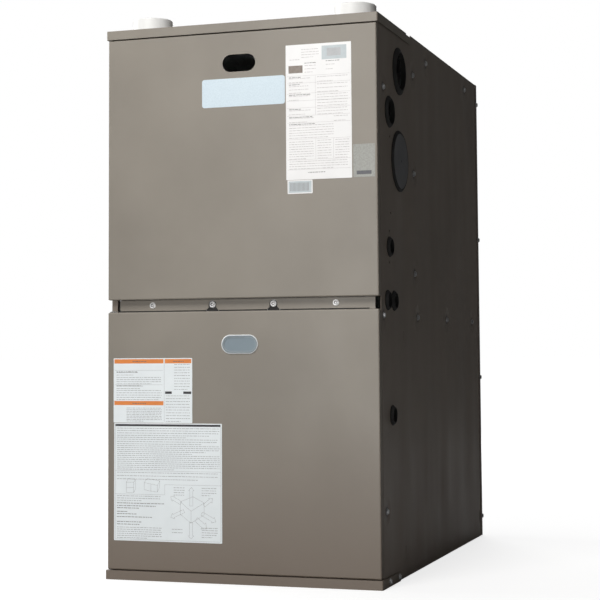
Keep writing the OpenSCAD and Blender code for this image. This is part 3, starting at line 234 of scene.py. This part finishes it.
def addDimples(tree, place, look, tone, height):
    ripples = addNoise(tree, addMapping(tree, place, look["ripple"]), 1, detail=1)
    height = addMath(tree, "ADD", height, addMath(tree, "MULTIPLY", ripples, look["rippleDeep"]))
    flat = flatten(tree, place, "YZ")
    for depth, high in look["screws"]:
        reach = addReach(tree, flat, (0, frontY + depth * mm, high * mm))
        sunk = addRange(tree, reach, *look["dimple"], look["sink"], 0, smooth=True)
        height = addMath(tree, "ADD", height, sunk)
        # painted shadow: a darker ring round each screw, where its dimple falls in shade
        edge = addRange(tree, reach, *look["screwShadeSpan"], look["screwShadeTone"], 0, smooth=True)
        tone = addMix(tree, edge, tone, look["rim"])
    return tone, height


def makePaint(name, look):
    finish, tree, shader, place = startFinish(name)
    drift = addNoise(tree, place, look["drift"], detail=4)
    tone = addMix(tree, addRange(tree, drift, *toneSpan), look["colour"], look["shade"])
    apart = addNode(tree, "ShaderNodeSeparateXYZ")
    tree.links.new(place, apart.inputs[0])
    # painted shade: darker and warmer over the lowest stretch of the sheet, towards the floor
    low = addRange(tree, apart.outputs["Z"], 0, look["floorShadeTop"], 1, 0)
    tone = addMix(tree, low, tone, look["floorShade"])
    specks = addRange(tree, addNoise(tree, place, look["speck"], detail=1), *look["speckSpan"])
    tone = addMix(tree, addMath(tree, "MULTIPLY", specks, look["speckTone"]), tone, look["dust"])
    smears = addNoise(tree, addMapping(tree, place, look["smearScale"]), look["smear"], detail=5)
    tree.links.new(addRange(tree, smears, *glossSpan, *look["rough"]), shader.inputs["Roughness"])
    peel = addMath(tree, "MULTIPLY", addNoise(tree, place, look["peel"], detail=2), look["peelDeep"])
    slack = addMath(tree, "MULTIPLY", addNoise(tree, place, look["slack"], detail=1), look["slackDeep"])
    height = addMath(tree, "ADD", peel, slack)
    if "screws" in look:
        tone, height = addDimples(tree, place, look, tone, height)
    tree.links.new(tone, shader.inputs["Base Color"])
    addBump(tree, shader, height, 1.0, 1.0)
    shader.inputs["IOR"].default_value = look["index"]
    return finish


# galvanised sheet: flat crystals of slightly different greys
galvanised = {"light": (0.62, 0.63, 0.64), "dark": (0.42, 0.44, 0.46), "rough": (0.32, 0.52), "metal": 0.9,
              "crystal": 95, "warp": 60, "warpShare": 0.03, "swell": 4, "bump": (0.6, 0.006)}


def makeGalvanised(name, look):
    finish, tree, shader, place = startFinish(name)
    ripple = addNode(tree, "ShaderNodeTexNoise")
    ripple.inputs["Scale"].default_value = look["warp"]
    tree.links.new(place, ripple.inputs["Vector"])
    warped = addNode(tree, "ShaderNodeMix", data_type="VECTOR")
    warped.inputs[0].default_value = look["warpShare"]
    tree.links.new(place, warped.inputs[4])
    tree.links.new(ripple.outputs["Color"], warped.inputs[5])
    cells = addNode(tree, "ShaderNodeTexVoronoi")
    cells.inputs["Scale"].default_value = look["crystal"]
    tree.links.new(warped.outputs[1], cells.inputs["Vector"])
    split = addNode(tree, "ShaderNodeSeparateColor")
    tree.links.new(cells.outputs["Color"], split.inputs[0])
    tree.links.new(addMix(tree, split.outputs[0], look["light"], look["dark"]), shader.inputs["Base Color"])
    tree.links.new(addRange(tree, split.outputs[1], 0, 1, *look["rough"]), shader.inputs["Roughness"])
    addBump(tree, shader, addNoise(tree, place, look["swell"], detail=2), *look["bump"])
    shader.inputs["Metallic"].default_value = look["metal"]
    return finish


inkBase = {"grain": 1300, "rough": (0.4, 0.55), "metal": 0.0, "bump": 0.00002}

# every other finish: two tones that drift, fine grain in the gloss and the surface
finishLooks = {
    "zincScrew": {"colour": (0.8, 0.81, 0.82), "shade": (0.5, 0.51, 0.53), "patch": 160, "grain": 1500,
                  "rough": (0.24, 0.4), "metal": 0.4, "bump": 0.00005},
    # painted shade: the door tabs are made nearly black, darker than black paint, for the deep shade in the
    # rail's notches
    "shadedTabBlack": {"colour": (0.009, 0.009, 0.01), "shade": (0.018, 0.017, 0.016), "patch": 120, "grain": 1200,
                 "rough": (0.55, 0.8), "metal": 0.0, "bump": 0.00004},
    "plugPaint": {"colour": (0.165, 0.167, 0.176), "shade": (0.14, 0.143, 0.152), "patch": 24, "grain": 1300,
                  "rough": (0.34, 0.5), "metal": 0.0, "bump": 0.00004},
    "pipePlastic": {"colour": (0.88, 0.88, 0.865), "shade": (0.82, 0.82, 0.81), "patch": 20, "grain": 500,
                    "rough": (0.3, 0.46), "metal": 0.0, "bump": 0.00006},
    "blackRubber": {"colour": (0.018, 0.018, 0.018), "shade": (0.035, 0.034, 0.033), "patch": 60,
                    "grain": 900, "rough": (0.6, 0.85), "metal": 0.0, "bump": 0.00008},
    "blackPlastic": {"colour": (0.018, 0.018, 0.02), "shade": (0.03, 0.03, 0.032), "patch": 40, "grain": 1100,
                     "rough": (0.42, 0.6), "metal": 0.0, "bump": 0.00006},
    "redPlastic": {"colour": (0.5, 0.02, 0.015), "shade": (0.38, 0.015, 0.012), "patch": 200, "grain": 1500,
                   "rough": (0.25, 0.4), "metal": 0.0, "bump": 0.00003},
    "redHose": {"colour": (0.42, 0.05, 0.03), "shade": (0.32, 0.035, 0.022), "patch": 90, "grain": 1200,
                "rough": (0.45, 0.65), "metal": 0.0, "bump": 0.00005},
    "whitePlastic": {"colour": (0.7, 0.69, 0.66), "shade": (0.6, 0.59, 0.56), "patch": 60, "grain": 900,
                     "rough": (0.35, 0.55), "metal": 0.0, "bump": 0.00005},
    "motorEnamel": {"colour": (0.02, 0.021, 0.023), "shade": (0.035, 0.035, 0.037), "patch": 30, "grain": 700,
                    "rough": (0.28, 0.42), "metal": 0.0, "bump": 0.00008},
    "ironPipe": {"colour": (0.03, 0.029, 0.029), "shade": (0.075, 0.06, 0.05), "patch": 45, "grain": 800,
                 "rough": (0.42, 0.7), "metal": 0.5, "bump": 0.0001},
    "castMetal": {"colour": (0.56, 0.57, 0.58), "shade": (0.42, 0.43, 0.44), "patch": 50, "grain": 1000,
                  "rough": (0.4, 0.6), "metal": 0.85, "bump": 0.0001},
    "brassMetal": {"colour": (0.68, 0.5, 0.2), "shade": (0.5, 0.34, 0.12), "patch": 150, "grain": 1400,
                   "rough": (0.22, 0.4), "metal": 1.0, "bump": 0.00003},
    "tubeSteel": {"colour": (0.46, 0.44, 0.41), "shade": (0.3, 0.24, 0.19), "patch": 16, "grain": 900,
                  "rough": (0.35, 0.6), "metal": 0.9, "bump": 0.00008},
    "stainless": {"colour": (0.6, 0.6, 0.6), "shade": (0.46, 0.46, 0.47), "patch": 12, "grain": 700,
                  "rough": (0.25, 0.42), "metal": 1.0, "bump": 0.00004, "drawn": (1, 0.04, 1)},
    "sparkCeramic": {"colour": (0.74, 0.71, 0.64), "shade": (0.6, 0.55, 0.47), "patch": 120, "grain": 1200,
                     "rough": (0.5, 0.8), "metal": 0.0, "bump": 0.00008},
    "solderMask": {"colour": (0.012, 0.1, 0.035), "shade": (0.02, 0.15, 0.055), "patch": 300, "grain": 900,
                   "rough": (0.25, 0.4), "metal": 0.0, "bump": 0.00004},
    "coreSteel": {"colour": (0.06, 0.05, 0.045), "shade": (0.12, 0.1, 0.08), "patch": 1, "grain": 900,
                  "rough": (0.4, 0.6), "metal": 0.4, "bump": 0.0002, "drawn": (0.02, 900, 0.02)},
    "canMetal": {"colour": (0.58, 0.59, 0.6), "shade": (0.46, 0.47, 0.48), "patch": 30, "grain": 900,
                 "rough": (0.2, 0.38), "metal": 1.0, "bump": 0.00004},
    "leadCover": {"colour": (0.012, 0.012, 0.014), "shade": (0.03, 0.03, 0.045), "patch": 200, "grain": 900,
                  "rough": (0.4, 0.6), "metal": 0.0, "bump": 0.00006},
    "plateBlank": {"colour": (0.68, 0.79, 0.855), "shade": (0.65, 0.76, 0.835), "patch": 9, "grain": 700,
                   "rough": (0.22, 0.34), "metal": 0.0, "bump": 0.00002},
    "labelStock": {"colour": (0.9, 0.895, 0.89), "shade": (0.87, 0.865, 0.86), "patch": 30, "grain": 1300,
                   "rough": (0.4, 0.55), "metal": 0.0, "bump": 0.00003},
    "cardStock": {"colour": (0.86, 0.91, 0.93), "shade": (0.82, 0.87, 0.89), "patch": 24, "grain": 1300,
                  "rough": (0.42, 0.58), "metal": 0.0, "bump": 0.00003},
    "orangeInk": dict(inkBase, colour=(0.8, 0.26, 0.06), shade=(0.74, 0.23, 0.05), patch=60),
    "blackInk": dict(inkBase, colour=(0.03, 0.03, 0.035), shade=(0.045, 0.045, 0.05), patch=90),
    "paleInk": dict(inkBase, colour=(0.46, 0.43, 0.43), shade=(0.4, 0.375, 0.375), patch=150),
    "greyInk": dict(inkBase, colour=(0.24, 0.24, 0.25), shade=(0.3, 0.3, 0.31), patch=150),
    "darkInk": dict(inkBase, colour=(0.13, 0.12, 0.12), shade=(0.18, 0.165, 0.165), patch=150),
    "tagFilm": {"colour": (0.36, 0.365, 0.335), "shade": (0.29, 0.29, 0.265), "patch": 420, "grain": 1300,
                "rough": (0.25, 0.4), "metal": 0.0, "bump": 0.00002},
    "tagInk": dict(inkBase, colour=(0.09, 0.092, 0.105), shade=(0.12, 0.12, 0.13), patch=200),
    "badgeInk": dict(inkBase, colour=(0.22, 0.18, 0.15), shade=(0.27, 0.23, 0.2), patch=200),
    "panelInk": dict(inkBase, colour=(0.55, 0.6, 0.62), shade=(0.5, 0.56, 0.58), patch=150),
    "bareSteel": {"colour": (0.78, 0.77, 0.75), "shade": (0.6, 0.59, 0.57), "patch": 90, "grain": 1300,
                  "rough": (0.2, 0.36), "metal": 1.0, "bump": 0.00003},
}


def makeFinish(name, look):
    finish, tree, shader, place = startFinish(name)
    drawn = addMapping(tree, place, look.get("drawn", (1, 1, 1)))
    drift = addRange(tree, addNoise(tree, drawn, look["patch"], detail=4), *toneSpan)
    tree.links.new(addMix(tree, drift, look["colour"], look["shade"]), shader.inputs["Base Color"])
    grain = addNoise(tree, drawn, look["grain"], detail=2)
    tree.links.new(addRange(tree, grain, *glossSpan, *look["rough"]), shader.inputs["Roughness"])
    addBump(tree, shader, grain, 1.0, look["bump"])
    shader.inputs["Metallic"].default_value = look["metal"]
    return finish


# the rail's and tabs' screws face the light: a painted highlight brightens each head, and a painted shadow
# ring marks where the driver's recess sits
railScrew = {"across": (-149.25, -49.75, 49.75, 149.25), "high": 422.7, "headHighlight": (0.97, 0.97, 0.97),
             "dark": (0.03, 0.028, 0.027), "head": 6.5, "fade": 1, "ring": 1.9, "ringWide": 0.7,
             "metal": 0.05}


def addRailScrews(finish, look):
    tree = finish.node_tree
    shader = tree.nodes["Principled BSDF"]
    place = next(node for node in tree.nodes if node.type == "TEX_COORD").outputs["Object"]
    flat = flatten(tree, place, "XZ")
    tone = shader.inputs["Base Color"].links[0].from_socket
    lustre = None
    for across in look["across"]:
        reach = addReach(tree, flat, (across * mm, 0, look["high"] * mm))
        head = addRange(tree, reach, look["head"] * mm, (look["head"] + look["fade"]) * mm, 1, 0)
        off = addMath(tree, "ABSOLUTE", addMath(tree, "SUBTRACT", reach, look["ring"] * mm), 0)
        ring = addRange(tree, off, 0.5 * look["ringWide"] * mm, look["ringWide"] * mm, 1, 0, smooth=True)
        # painted highlight over each head, with a painted shadow ring for its recess
        tone = addMix(tree, ring, addMix(tree, head, tone, look["headHighlight"]), look["dark"])
        lustre = head if lustre is None else addMath(tree, "ADD", lustre, head)
    tree.links.new(tone, shader.inputs["Base Color"])
    metal = addRange(tree, lustre, 0, 1, shader.inputs["Metallic"].default_value, look["metal"])
    tree.links.new(metal, shader.inputs["Metallic"])


# foil facing: crushed folds that catch the light
foilFace = {"light": (0.8, 0.8, 0.81), "dark": (0.6, 0.6, 0.62), "folds": 38, "crush": 2.4, "warp": 0.6,
            "bump": (0.9, 0.002), "metal": 0.85, "rough": 0.32}


def makeFoil(name, look):
    finish, tree, shader, place = startFinish(name)
    folds = addNode(tree, "ShaderNodeTexVoronoi", feature="DISTANCE_TO_EDGE")
    folds.inputs["Scale"].default_value = look["folds"]
    tree.links.new(place, folds.inputs["Vector"])
    crush = addNoise(tree, place, look["folds"] * look["crush"], detail=5, warp=look["warp"])
    tree.links.new(addMix(tree, crush, look["light"], look["dark"]), shader.inputs["Base Color"])
    addBump(tree, shader, addMath(tree, "ADD", folds.outputs["Distance"], crush), *look["bump"])
    shader.inputs["Metallic"].default_value = look["metal"]
    shader.inputs["Roughness"].default_value = look["rough"]
    return finish


# the sight window: clear bluish plastic, a little hazy, with a rolled rim and a step inside it, both
# brightened with painted highlight;
# its middle's height, the half length of its straight part and the radii of rim and step are in mm
clearPlastic = {"colour": (0.43, 0.52, 0.58), "shade": 0.88, "edge": (0.86, 0.89, 0.9), "see": 0.5,
                "rough": (0.12, 0.24), "index": 1.49, "haze": 70, "hazeDeep": 0.00016,
                "high": 361, "half": 15, "rim": 13.2, "rimSoft": (-0.5, 0.3),
                "roll": 1.6, "rollDeep": 0.0012, "step": 10.6, "stepSpan": (0.2, 0.8), "stepHighlight": 0.4}


# how far a point is from the middle line of the window's rounded outline
def addOval(tree, place, look):
    apart = addNode(tree, "ShaderNodeSeparateXYZ")
    tree.links.new(place, apart.inputs[0])
    across = addMath(tree, "ABSOLUTE", apart.outputs["X"], 0)
    past = addMath(tree, "MAXIMUM", addMath(tree, "SUBTRACT", across, look["half"] * mm), 0)
    rise = addMath(tree, "SUBTRACT", apart.outputs["Z"], look["high"] * mm)
    squares = [addMath(tree, "MULTIPLY", way, way) for way in (past, rise)]
    return addMath(tree, "SQRT", addMath(tree, "ADD", *squares), 0)


def makeWindow(name, look):
    finish, tree, shader, place = startFinish(name)
    out = addOval(tree, place, look)
    rim = addRange(tree, out, *((look["rim"] + soft) * mm for soft in look["rimSoft"]), smooth=True)
    fromStep = addMath(tree, "ABSOLUTE", addMath(tree, "SUBTRACT", out, look["step"] * mm), 0)
    near, far = (width * mm for width in look["stepSpan"])
    step = addRange(tree, fromStep, near, far, look["stepHighlight"], 0, smooth=True)
    haze = addNoise(tree, place, look["haze"], detail=3)
    tone = addMix(tree, haze, look["colour"], tuple(c * look["shade"] for c in look["colour"]))
    # painted highlight: the rim and the step are mixed towards a pale grey, and the rim is made opaque
    tone = addMix(tree, addMath(tree, "ADD", rim, step), tone, look["edge"])
    tree.links.new(tone, shader.inputs["Base Color"])
    tree.links.new(addRange(tree, haze, *glossSpan, *look["rough"]), shader.inputs["Roughness"])
    tree.links.new(addRange(tree, rim, 0, 1, look["see"], 1), shader.inputs["Alpha"])
    shader.inputs["IOR"].default_value = look["index"]
    roll = addRange(tree, out, look["rim"] * mm, (look["rim"] + look["roll"]) * mm, look["rollDeep"], 0)
    height = addMath(tree, "ADD", roll, addMath(tree, "MULTIPLY", haze, look["hazeDeep"]))
    addBump(tree, shader, height, 1.0, 1.0)
    return finish


finishes = {name: makeFinish(name, look) for name, look in finishLooks.items()}
addRailScrews(finishes["zincScrew"], railScrew)
finishes["cabinetPaint"] = makePaint("cabinetPaint", cabinetPaint)
finishes["shadedSidePaint"] = makePaint("shadedSidePaint", shadedSidePaint)
finishes["shadedBackPaint"] = makePaint("shadedBackPaint", shadedBackPaint)
finishes["galvanised"] = makeGalvanised("galvanised", galvanised)
finishes["foilFace"] = makeFoil("foilFace", foilFace)
finishes["clearPlastic"] = makeWindow("clearPlastic", clearPlastic)

nodeFinish = {
    "cabinetPaint": ["top_vent_panel", "base_rail", "center_rail", "upper_door", "lower_door"],
    "shadedSidePaint": ["left_side_panel", "right_side_panel"],
    "shadedBackPaint": ["rear_panel"],
    "galvanised": ["base_frame", "blower_deck", "vestibule_panel", "inducer_wheel", "burner_box",
                   "blower_housing", "blower_wheel", "motor_mount", "control_panel"],
    "plugPaint": ["side_vent_plugs"],
    "pipePlastic": ["pipe_couplings", "vent_pipe", "drain_pipes"],
    "blackRubber": ["rubber_seals"],
    "foilFace": ["door_lining", "compartment_liners"],
    "shadedTabBlack": ["door_tabs"],
    "clearPlastic": ["sight_window"],
    "plateBlank": ["name_plate"],
    "labelStock": ["rating_labels"],
    "cardStock": ["lower_cards"],
    "tubeSteel": ["primary_tubes", "burners"],
    "stainless": ["rear_header", "secondary_coil", "inducer_shaft", "blower_shaft"],
    "blackPlastic": ["collector_box", "inducer_housing", "gas_knob", "rollout_switches", "limit_switch",
                     "pressure_switch", "door_switch"],
    "motorEnamel": ["inducer_motor", "blower_motor"],
    "ironPipe": ["gas_manifold"],
    "brassMetal": ["gas_orifices"],
    "castMetal": ["gas_valve"],
    "sparkCeramic": ["igniter", "flame_sensor"],
    "redPlastic": ["rollout_button_left", "rollout_button_right"],
    "redHose": ["pressure_hose"],
    "whitePlastic": ["condensate_trap", "switch_plunger"],
    "canMetal": ["capacitor"],
    "solderMask": ["control_board"],
    "coreSteel": ["transformer"],
    "leadCover": ["wiring_harness"],
    "zincScrew": ["screws", "tab_screws"],
}
for finishName, members in nodeFinish.items():
    for member in members:
        for holder in nodes[member].material_slots:
            holder.material = finishes[finishName]
print("finishes on", sum(len(m) for m in nodeFinish.values()), "nodes")


mergeWithin = 1e-7


def addPiece(name, bm, finish, body):
    bmesh.ops.remove_doubles(bm, verts=bm.verts, dist=mergeWithin)
    mesh = bpy.data.meshes.new(name)
    bm.to_mesh(mesh)
    bm.free()
    piece = bpy.data.objects.new(name, mesh)
    mesh.materials.append(finishes[finish])
    scene.collection.objects.link(piece)
    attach(piece, body)


# ink in mm: how proud it lies, how far it reaches into its paper, and the sizes of its marks
inkLook = {"lift": 0.05, "barLift": 0.03, "topLift": 0.06, "sunk": 0.01, "rule": 0.28, "pen": 0.32,
           "barb": 1.8, "strongTall": 0.9, "dashTall": 0.62, "dashUp": 0.4, "word": (1.6, 6.5),
           "gap": (0.8, 1.2), "shortest": 1, "lastRow": (0.5, 0.95)}

# printed matter: plain rules, bars, rows of short dashes and line drawings, in mm right and down from
# a card's corner, which is given in mm from the cabinet's left edge and the floor
ratingPrint = {
    "node": "rating_labels", "body": "upper_door", "slot": "label_paper", "corner": (298.6, 815), "seed": 3,
    "ink": "paleInk",
    "rules": [(2, y, 102) for y in (48, 59, 75, 86, 97, 109, 120, 145, 176, 191)],
    "posts": [(47, 48, 109), (47, 145, 176), (75, 145, 176)],
    "rows": [(25, 53, 8, 20, 4), (6, 22, 23, 25, 1), (30, 48, 33, 43, 3), (64, 78, 33, 40, 2),
             (5, 40, 52, 58, 2), (50, 98, 51, 58, 2), (5, 36, 64, 74, 3), (50, 98, 62, 74, 3),
             (5, 38, 79, 85, 2), (50, 98, 78, 108, 8), (5, 40, 101, 107, 2), (5, 44, 113, 119, 2),
             (76, 98, 112, 119, 2), (5, 76, 124, 143, 6), (5, 44, 149, 175, 8), (50, 72, 148, 175, 8),
             (78, 100, 148, 175, 8), (5, 98, 179, 190, 4)],
    "strong": [(30, 48, 28.5), (64, 86, 27), (5, 24, 49.8), (5, 22, 60.8), (5, 40, 76.5), (5, 24, 98.6),
               (5, 42, 110.8), (5, 46, 121.6), (35, 62, 195.5)],
    "bars": [("panelInk", 57.5, 4, 96.6, 25), ("badgeInk", 4.5, 32, 27, 43.5)],
    "stripes": (66, 88, 8, 20, 13),
}
smallPrint = {
    "node": "rating_labels", "body": "upper_door", "slot": "label_paper", "corner": (300.5, 608), "seed": 5,
    "bars": [("panelInk", 1.6, 1.6, 38.2, 19)],
    "stripes": (4.5, 35, 4, 16.5, 15),
}
tagPrint = {
    "node": "rating_labels", "body": "upper_door", "slot": "label_paper", "corner": (404.7, 658.5), "seed": 2,
    "bars": [("tagFilm", -0.1, -0.1, 33.4, 49.6), ("tagInk", 5, 40, 28, 45.6)],
}
upperCard = {
    "node": "lower_cards", "body": "lower_door", "slot": "card_paper", "corner": (12.5, 340.5), "seed": 7,
    "rules": [(2, 18.5, 83), (2, 40.8, 83)],
    "posts": [(85.2, 1.5, 98)],
    "rows": [(5, 42, 22, 26, 2), (5, 80, 30, 39.5, 4), (5, 50, 43, 47, 2), (5, 81, 50, 64, 5),
             (22, 81, 77, 97, 9), (102, 128, 10, 48, 10), (88, 128, 58, 97, 10)],
    "strong": [(5, 40, 20.6), (5, 46, 42.2), (32, 56, 4.6), (32, 56, 69.2), (100, 118, 4.6)],
    "bars": [("orangeInk", 1.2, 1.4, 84, 8), ("orangeInk", 1.2, 66, 84, 72.4),
             ("orangeInk", 86.4, 1.4, 130.4, 8), ("blackInk", 86.8, 51.2, 98, 55),
             ("blackInk", 117, 51.2, 130.2, 55)],
}
lowerCard = {
    "node": "lower_cards", "body": "lower_door", "slot": "card_paper", "corner": (13.5, 240.4), "seed": 11,
    "rules": [(2, 73, 177), (2, 109, 85), (85, 93.5, 177), (2, 178, 177)],
    "posts": [(2, 5, 178), (177, 5, 178), (85, 93.5, 109)],
    "rows": [(5, 175, 8, 19, 4), (5, 120, 22, 22, 1), (5, 172, 25, 32, 3), (5, 176, 35, 44, 4),
             (5, 130, 47, 47, 1), (5, 176, 50, 71, 8), (5, 172, 76, 86, 3), (5, 78, 112, 119, 3),
             (5, 80, 160, 176, 6), (100, 118, 98, 109, 4), (146, 170, 98, 109, 4),
             (146, 172, 158, 172, 5), (97, 116, 161, 166, 2)],
    "strong": [(5, 84, 122.5), (5, 70, 126.5), (5, 42, 130), (5, 24, 135.5), (5, 38, 139), (5, 64, 143.5),
               (5, 46, 151), (5, 44, 154.8)],
    "bars": [("blackInk", 2, 1.6, 177, 4.8)],
    "lines": [(111, 119, 132, 111), (132, 111, 150, 120), (150, 120, 150, 138),
              (150, 138, 128.5, 151), (128.5, 151, 111, 138), (111, 138, 111, 119),
              (111, 119, 128.5, 133), (128.5, 133, 150, 120), (128.5, 133, 128.5, 151),
              (21, 91, 33, 91), (33, 91, 33, 107), (33, 107, 21, 107), (21, 107, 21, 91),
              (21, 99, 33, 99), (21, 91, 24, 85.5), (24, 85.5, 36, 86.5), (36, 86.5, 33, 91),
              (36, 86.5, 36, 102), (36, 102, 33, 107), (51, 91, 62, 93), (62, 93, 73, 95),
              (51, 91, 51, 102), (51, 102, 62, 104), (62, 104, 73, 105), (73, 105, 73, 95),
              (62, 93, 62, 104), (51, 91, 56, 85), (56, 85, 77, 88), (77, 88, 73, 95),
              (77, 88, 76, 99), (76, 99, 73, 105)],
    "arrows": [(129, 125, 129, 97, 5), (112, 121, 95, 112, 5), (150, 124, 164, 113, 5),
               (117, 133, 95, 143, 5), (146, 136, 169, 148, 5.5), (128.5, 150, 128.5, 175, 5),
               (137, 145, 154, 159, 7)],
}


# one block of ink, centred across and down from the card's corner
def addMark(bm, look, frontAt, across, down, long, tall, lift, turn=0.0):
    centre = Vector(((look["corner"][0] + across - halfWidth) * mm,
                     frontAt - lift * mm / 2 + inkLook["sunk"] * mm,
                     (look["corner"][1] - down) * mm))
    block = Matrix.Diagonal((long * mm, lift * mm, tall * mm, 1))
    turned = Matrix.Translation(centre) @ Matrix.Rotation(turn, 4, "Y")
    bmesh.ops.create_cube(bm, size=1, matrix=turned @ block)


def addBar(bm, look, frontAt, left, top, right, bottom, lift=inkLook["lift"]):
    addMark(bm, look, frontAt, (left + right) / 2, (top + bottom) / 2, right - left, bottom - top, lift)


def addStroke(bm, look, frontAt, x0, y0, x1, y1):
    long = math.hypot(x1 - x0, y1 - y0) + inkLook["pen"]
    addMark(bm, look, frontAt, (x0 + x1) / 2, (y0 + y1) / 2, long, inkLook["pen"], inkLook["lift"],
            turn=math.atan2(y1 - y0, x1 - x0))


def addArrow(bm, look, frontAt, x0, y0, x1, y1, width):
    along = Vector((x1 - x0, y1 - y0)).normalized()
    across = Vector((-along.y, along.x)) * width / 2
    barb = across * inkLook["barb"]
    tail, tip = Vector((x0, y0)), Vector((x1, y1))
    neck = tip - along * width
    corners = [tail - across, neck - across, neck - barb, tip, neck + barb, neck + across, tail + across]
    for start, end in zip(corners, corners[1:] + corners[:1]):
        addStroke(bm, look, frontAt, *start, *end)


def addDashes(bm, look, frontAt, left, right, down, tall, dice):
    at = left
    while at < right - inkLook["shortest"]:
        word = min(dice.uniform(*inkLook["word"]), right - at)
        addBar(bm, look, frontAt, at, down, at + word, down + tall)
        at += word + dice.uniform(*inkLook["gap"])


# rows of dashes, of which the last of several stops short
def addRows(bm, look, frontAt, left, right, top, bottom, count, dice):
    for k in range(count):
        down = top + (bottom - top) * k / max(count - 1, 1) - inkLook["dashUp"]
        end = right
        if count > 1 and k == count - 1:
            end = left + (right - left) * dice.uniform(*inkLook["lastRow"])
        addDashes(bm, look, frontAt, left, end, down, inkLook["dashTall"], dice)


def printCard(name, look):
    dice = random.Random(look["seed"])
    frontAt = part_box(look["node"])[0].y
    fine, strong = bmesh.new(), bmesh.new()
    for left, down, right in look.get("rules", []):
        addBar(fine, look, frontAt, left, down, right, down + inkLook["rule"])
    for across, top, bottom in look.get("posts", []):
        addBar(fine, look, frontAt, across, top, across + inkLook["rule"], bottom)
    for row in look.get("rows", []):
        addRows(fine, look, frontAt, *row, dice)
    for left, right, down in look.get("strong", []):
        addDashes(strong, look, frontAt, left, right, down, inkLook["strongTall"], dice)
    for stroke in look.get("lines", []):
        addStroke(fine, look, frontAt, *stroke)
    for arrow in look.get("arrows", []):
        addArrow(fine, look, frontAt, *arrow)
    inks = {look.get("ink", "greyInk"): fine, "darkInk": strong}
    for ink, left, top, right, bottom in look["bars"]:
        lift = inkLook["topLift"] if ink == "tagInk" else inkLook["barLift"]
        addBar(inks.setdefault(ink, bmesh.new()), look, frontAt, left, top, right, bottom, lift=lift)
    if "stripes" in look:
        left, right, top, bottom, count = look["stripes"]
        step = (right - left) / count
        for k in range(count):
            addBar(fine, look, frontAt, left + k * step, top, left + (k + 0.5) * step, bottom,
                   lift=inkLook["topLift"])
    for ink, bm in inks.items():
        if len(bm.verts):
            addPiece(name + "_" + ink, bm, ink, look["body"])


printCard("ratingPrint", ratingPrint)
printCard("smallPrint", smallPrint)
printCard("tagPrint", tagPrint)
printCard("upperCard", upperCard)
printCard("lowerCard", lowerCard)
print("labels printed")

# a sliver of bare metal where the paint is off, on the lower door's top left corner; its outline is in
# mm from the cabinet's middle and from the door's top edge
bareSliver = {"outline": [(-217.5, 0.1), (-204, 0.1), (-206, 1.56), (-213.5, 2.6), (-217.5, 1.3)],
              "back": 3.2, "sunk": 0.3, "thick": 0.35}


def addBareSliver(look):
    low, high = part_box("lower_door")
    bm = bmesh.new()
    verts = [bm.verts.new((x * mm, low.y + look["back"] * mm, high.z + (z - look["sunk"]) * mm))
             for x, z in look["outline"]]
    drawn = bmesh.ops.extrude_face_region(bm, geom=[bm.faces.new(verts)])
    moved = [v for v in drawn["geom"] if isinstance(v, bmesh.types.BMVert)]
    bmesh.ops.translate(bm, verts=moved, vec=(0, look["thick"] * mm, 0))
    bmesh.ops.recalc_face_normals(bm, faces=bm.faces)
    addPiece("bareSliver", bm, "bareSteel", "lower_door")


addBareSliver(bareSliver)
print("bare corner added")

# a grey floor that glows for the camera alone, and fades into the white of the background
floorLook = {"size": 60, "colour": (0.3, 0.3, 0.3), "shade": 0.985, "drift": 1.5, "rough": 0.9,
             "glow": (1, 1, 1, 1), "near": 0.78, "far": 1.0, "reach": (0.8, 3.5)}


def addFloor(look):
    bm = bmesh.new()
    bmesh.ops.create_grid(bm, x_segments=1, y_segments=1, size=look["size"])
    mesh = bpy.data.meshes.new("floor")
    bm.to_mesh(mesh)
    bm.free()
    floor = bpy.data.objects.new("floor", mesh)
    scene.collection.objects.link(floor)
    finish, tree, shader, place = startFinish("floorFinish")
    shade = tuple(c * look["shade"] for c in look["colour"])
    tint = addMix(tree, addNoise(tree, place, look["drift"]), look["colour"], shade)
    tree.links.new(tint, shader.inputs["Base Color"])
    shader.inputs["Roughness"].default_value = look["rough"]
    shader.inputs["Emission Color"].default_value = look["glow"]
    away = addNode(tree, "ShaderNodeVectorMath", operation="LENGTH")
    tree.links.new(place, away.inputs[0])
    glow = addRange(tree, away.outputs["Value"], *look["reach"], look["near"], look["far"], smooth=True)
    seen = addNode(tree, "ShaderNodeLightPath")
    strength = addMath(tree, "MULTIPLY", seen.outputs["Is Camera Ray"], glow)
    tree.links.new(strength, shader.inputs["Emission Strength"])
    mesh.materials.append(finish)


addFloor(floorLook)
print("floor laid")
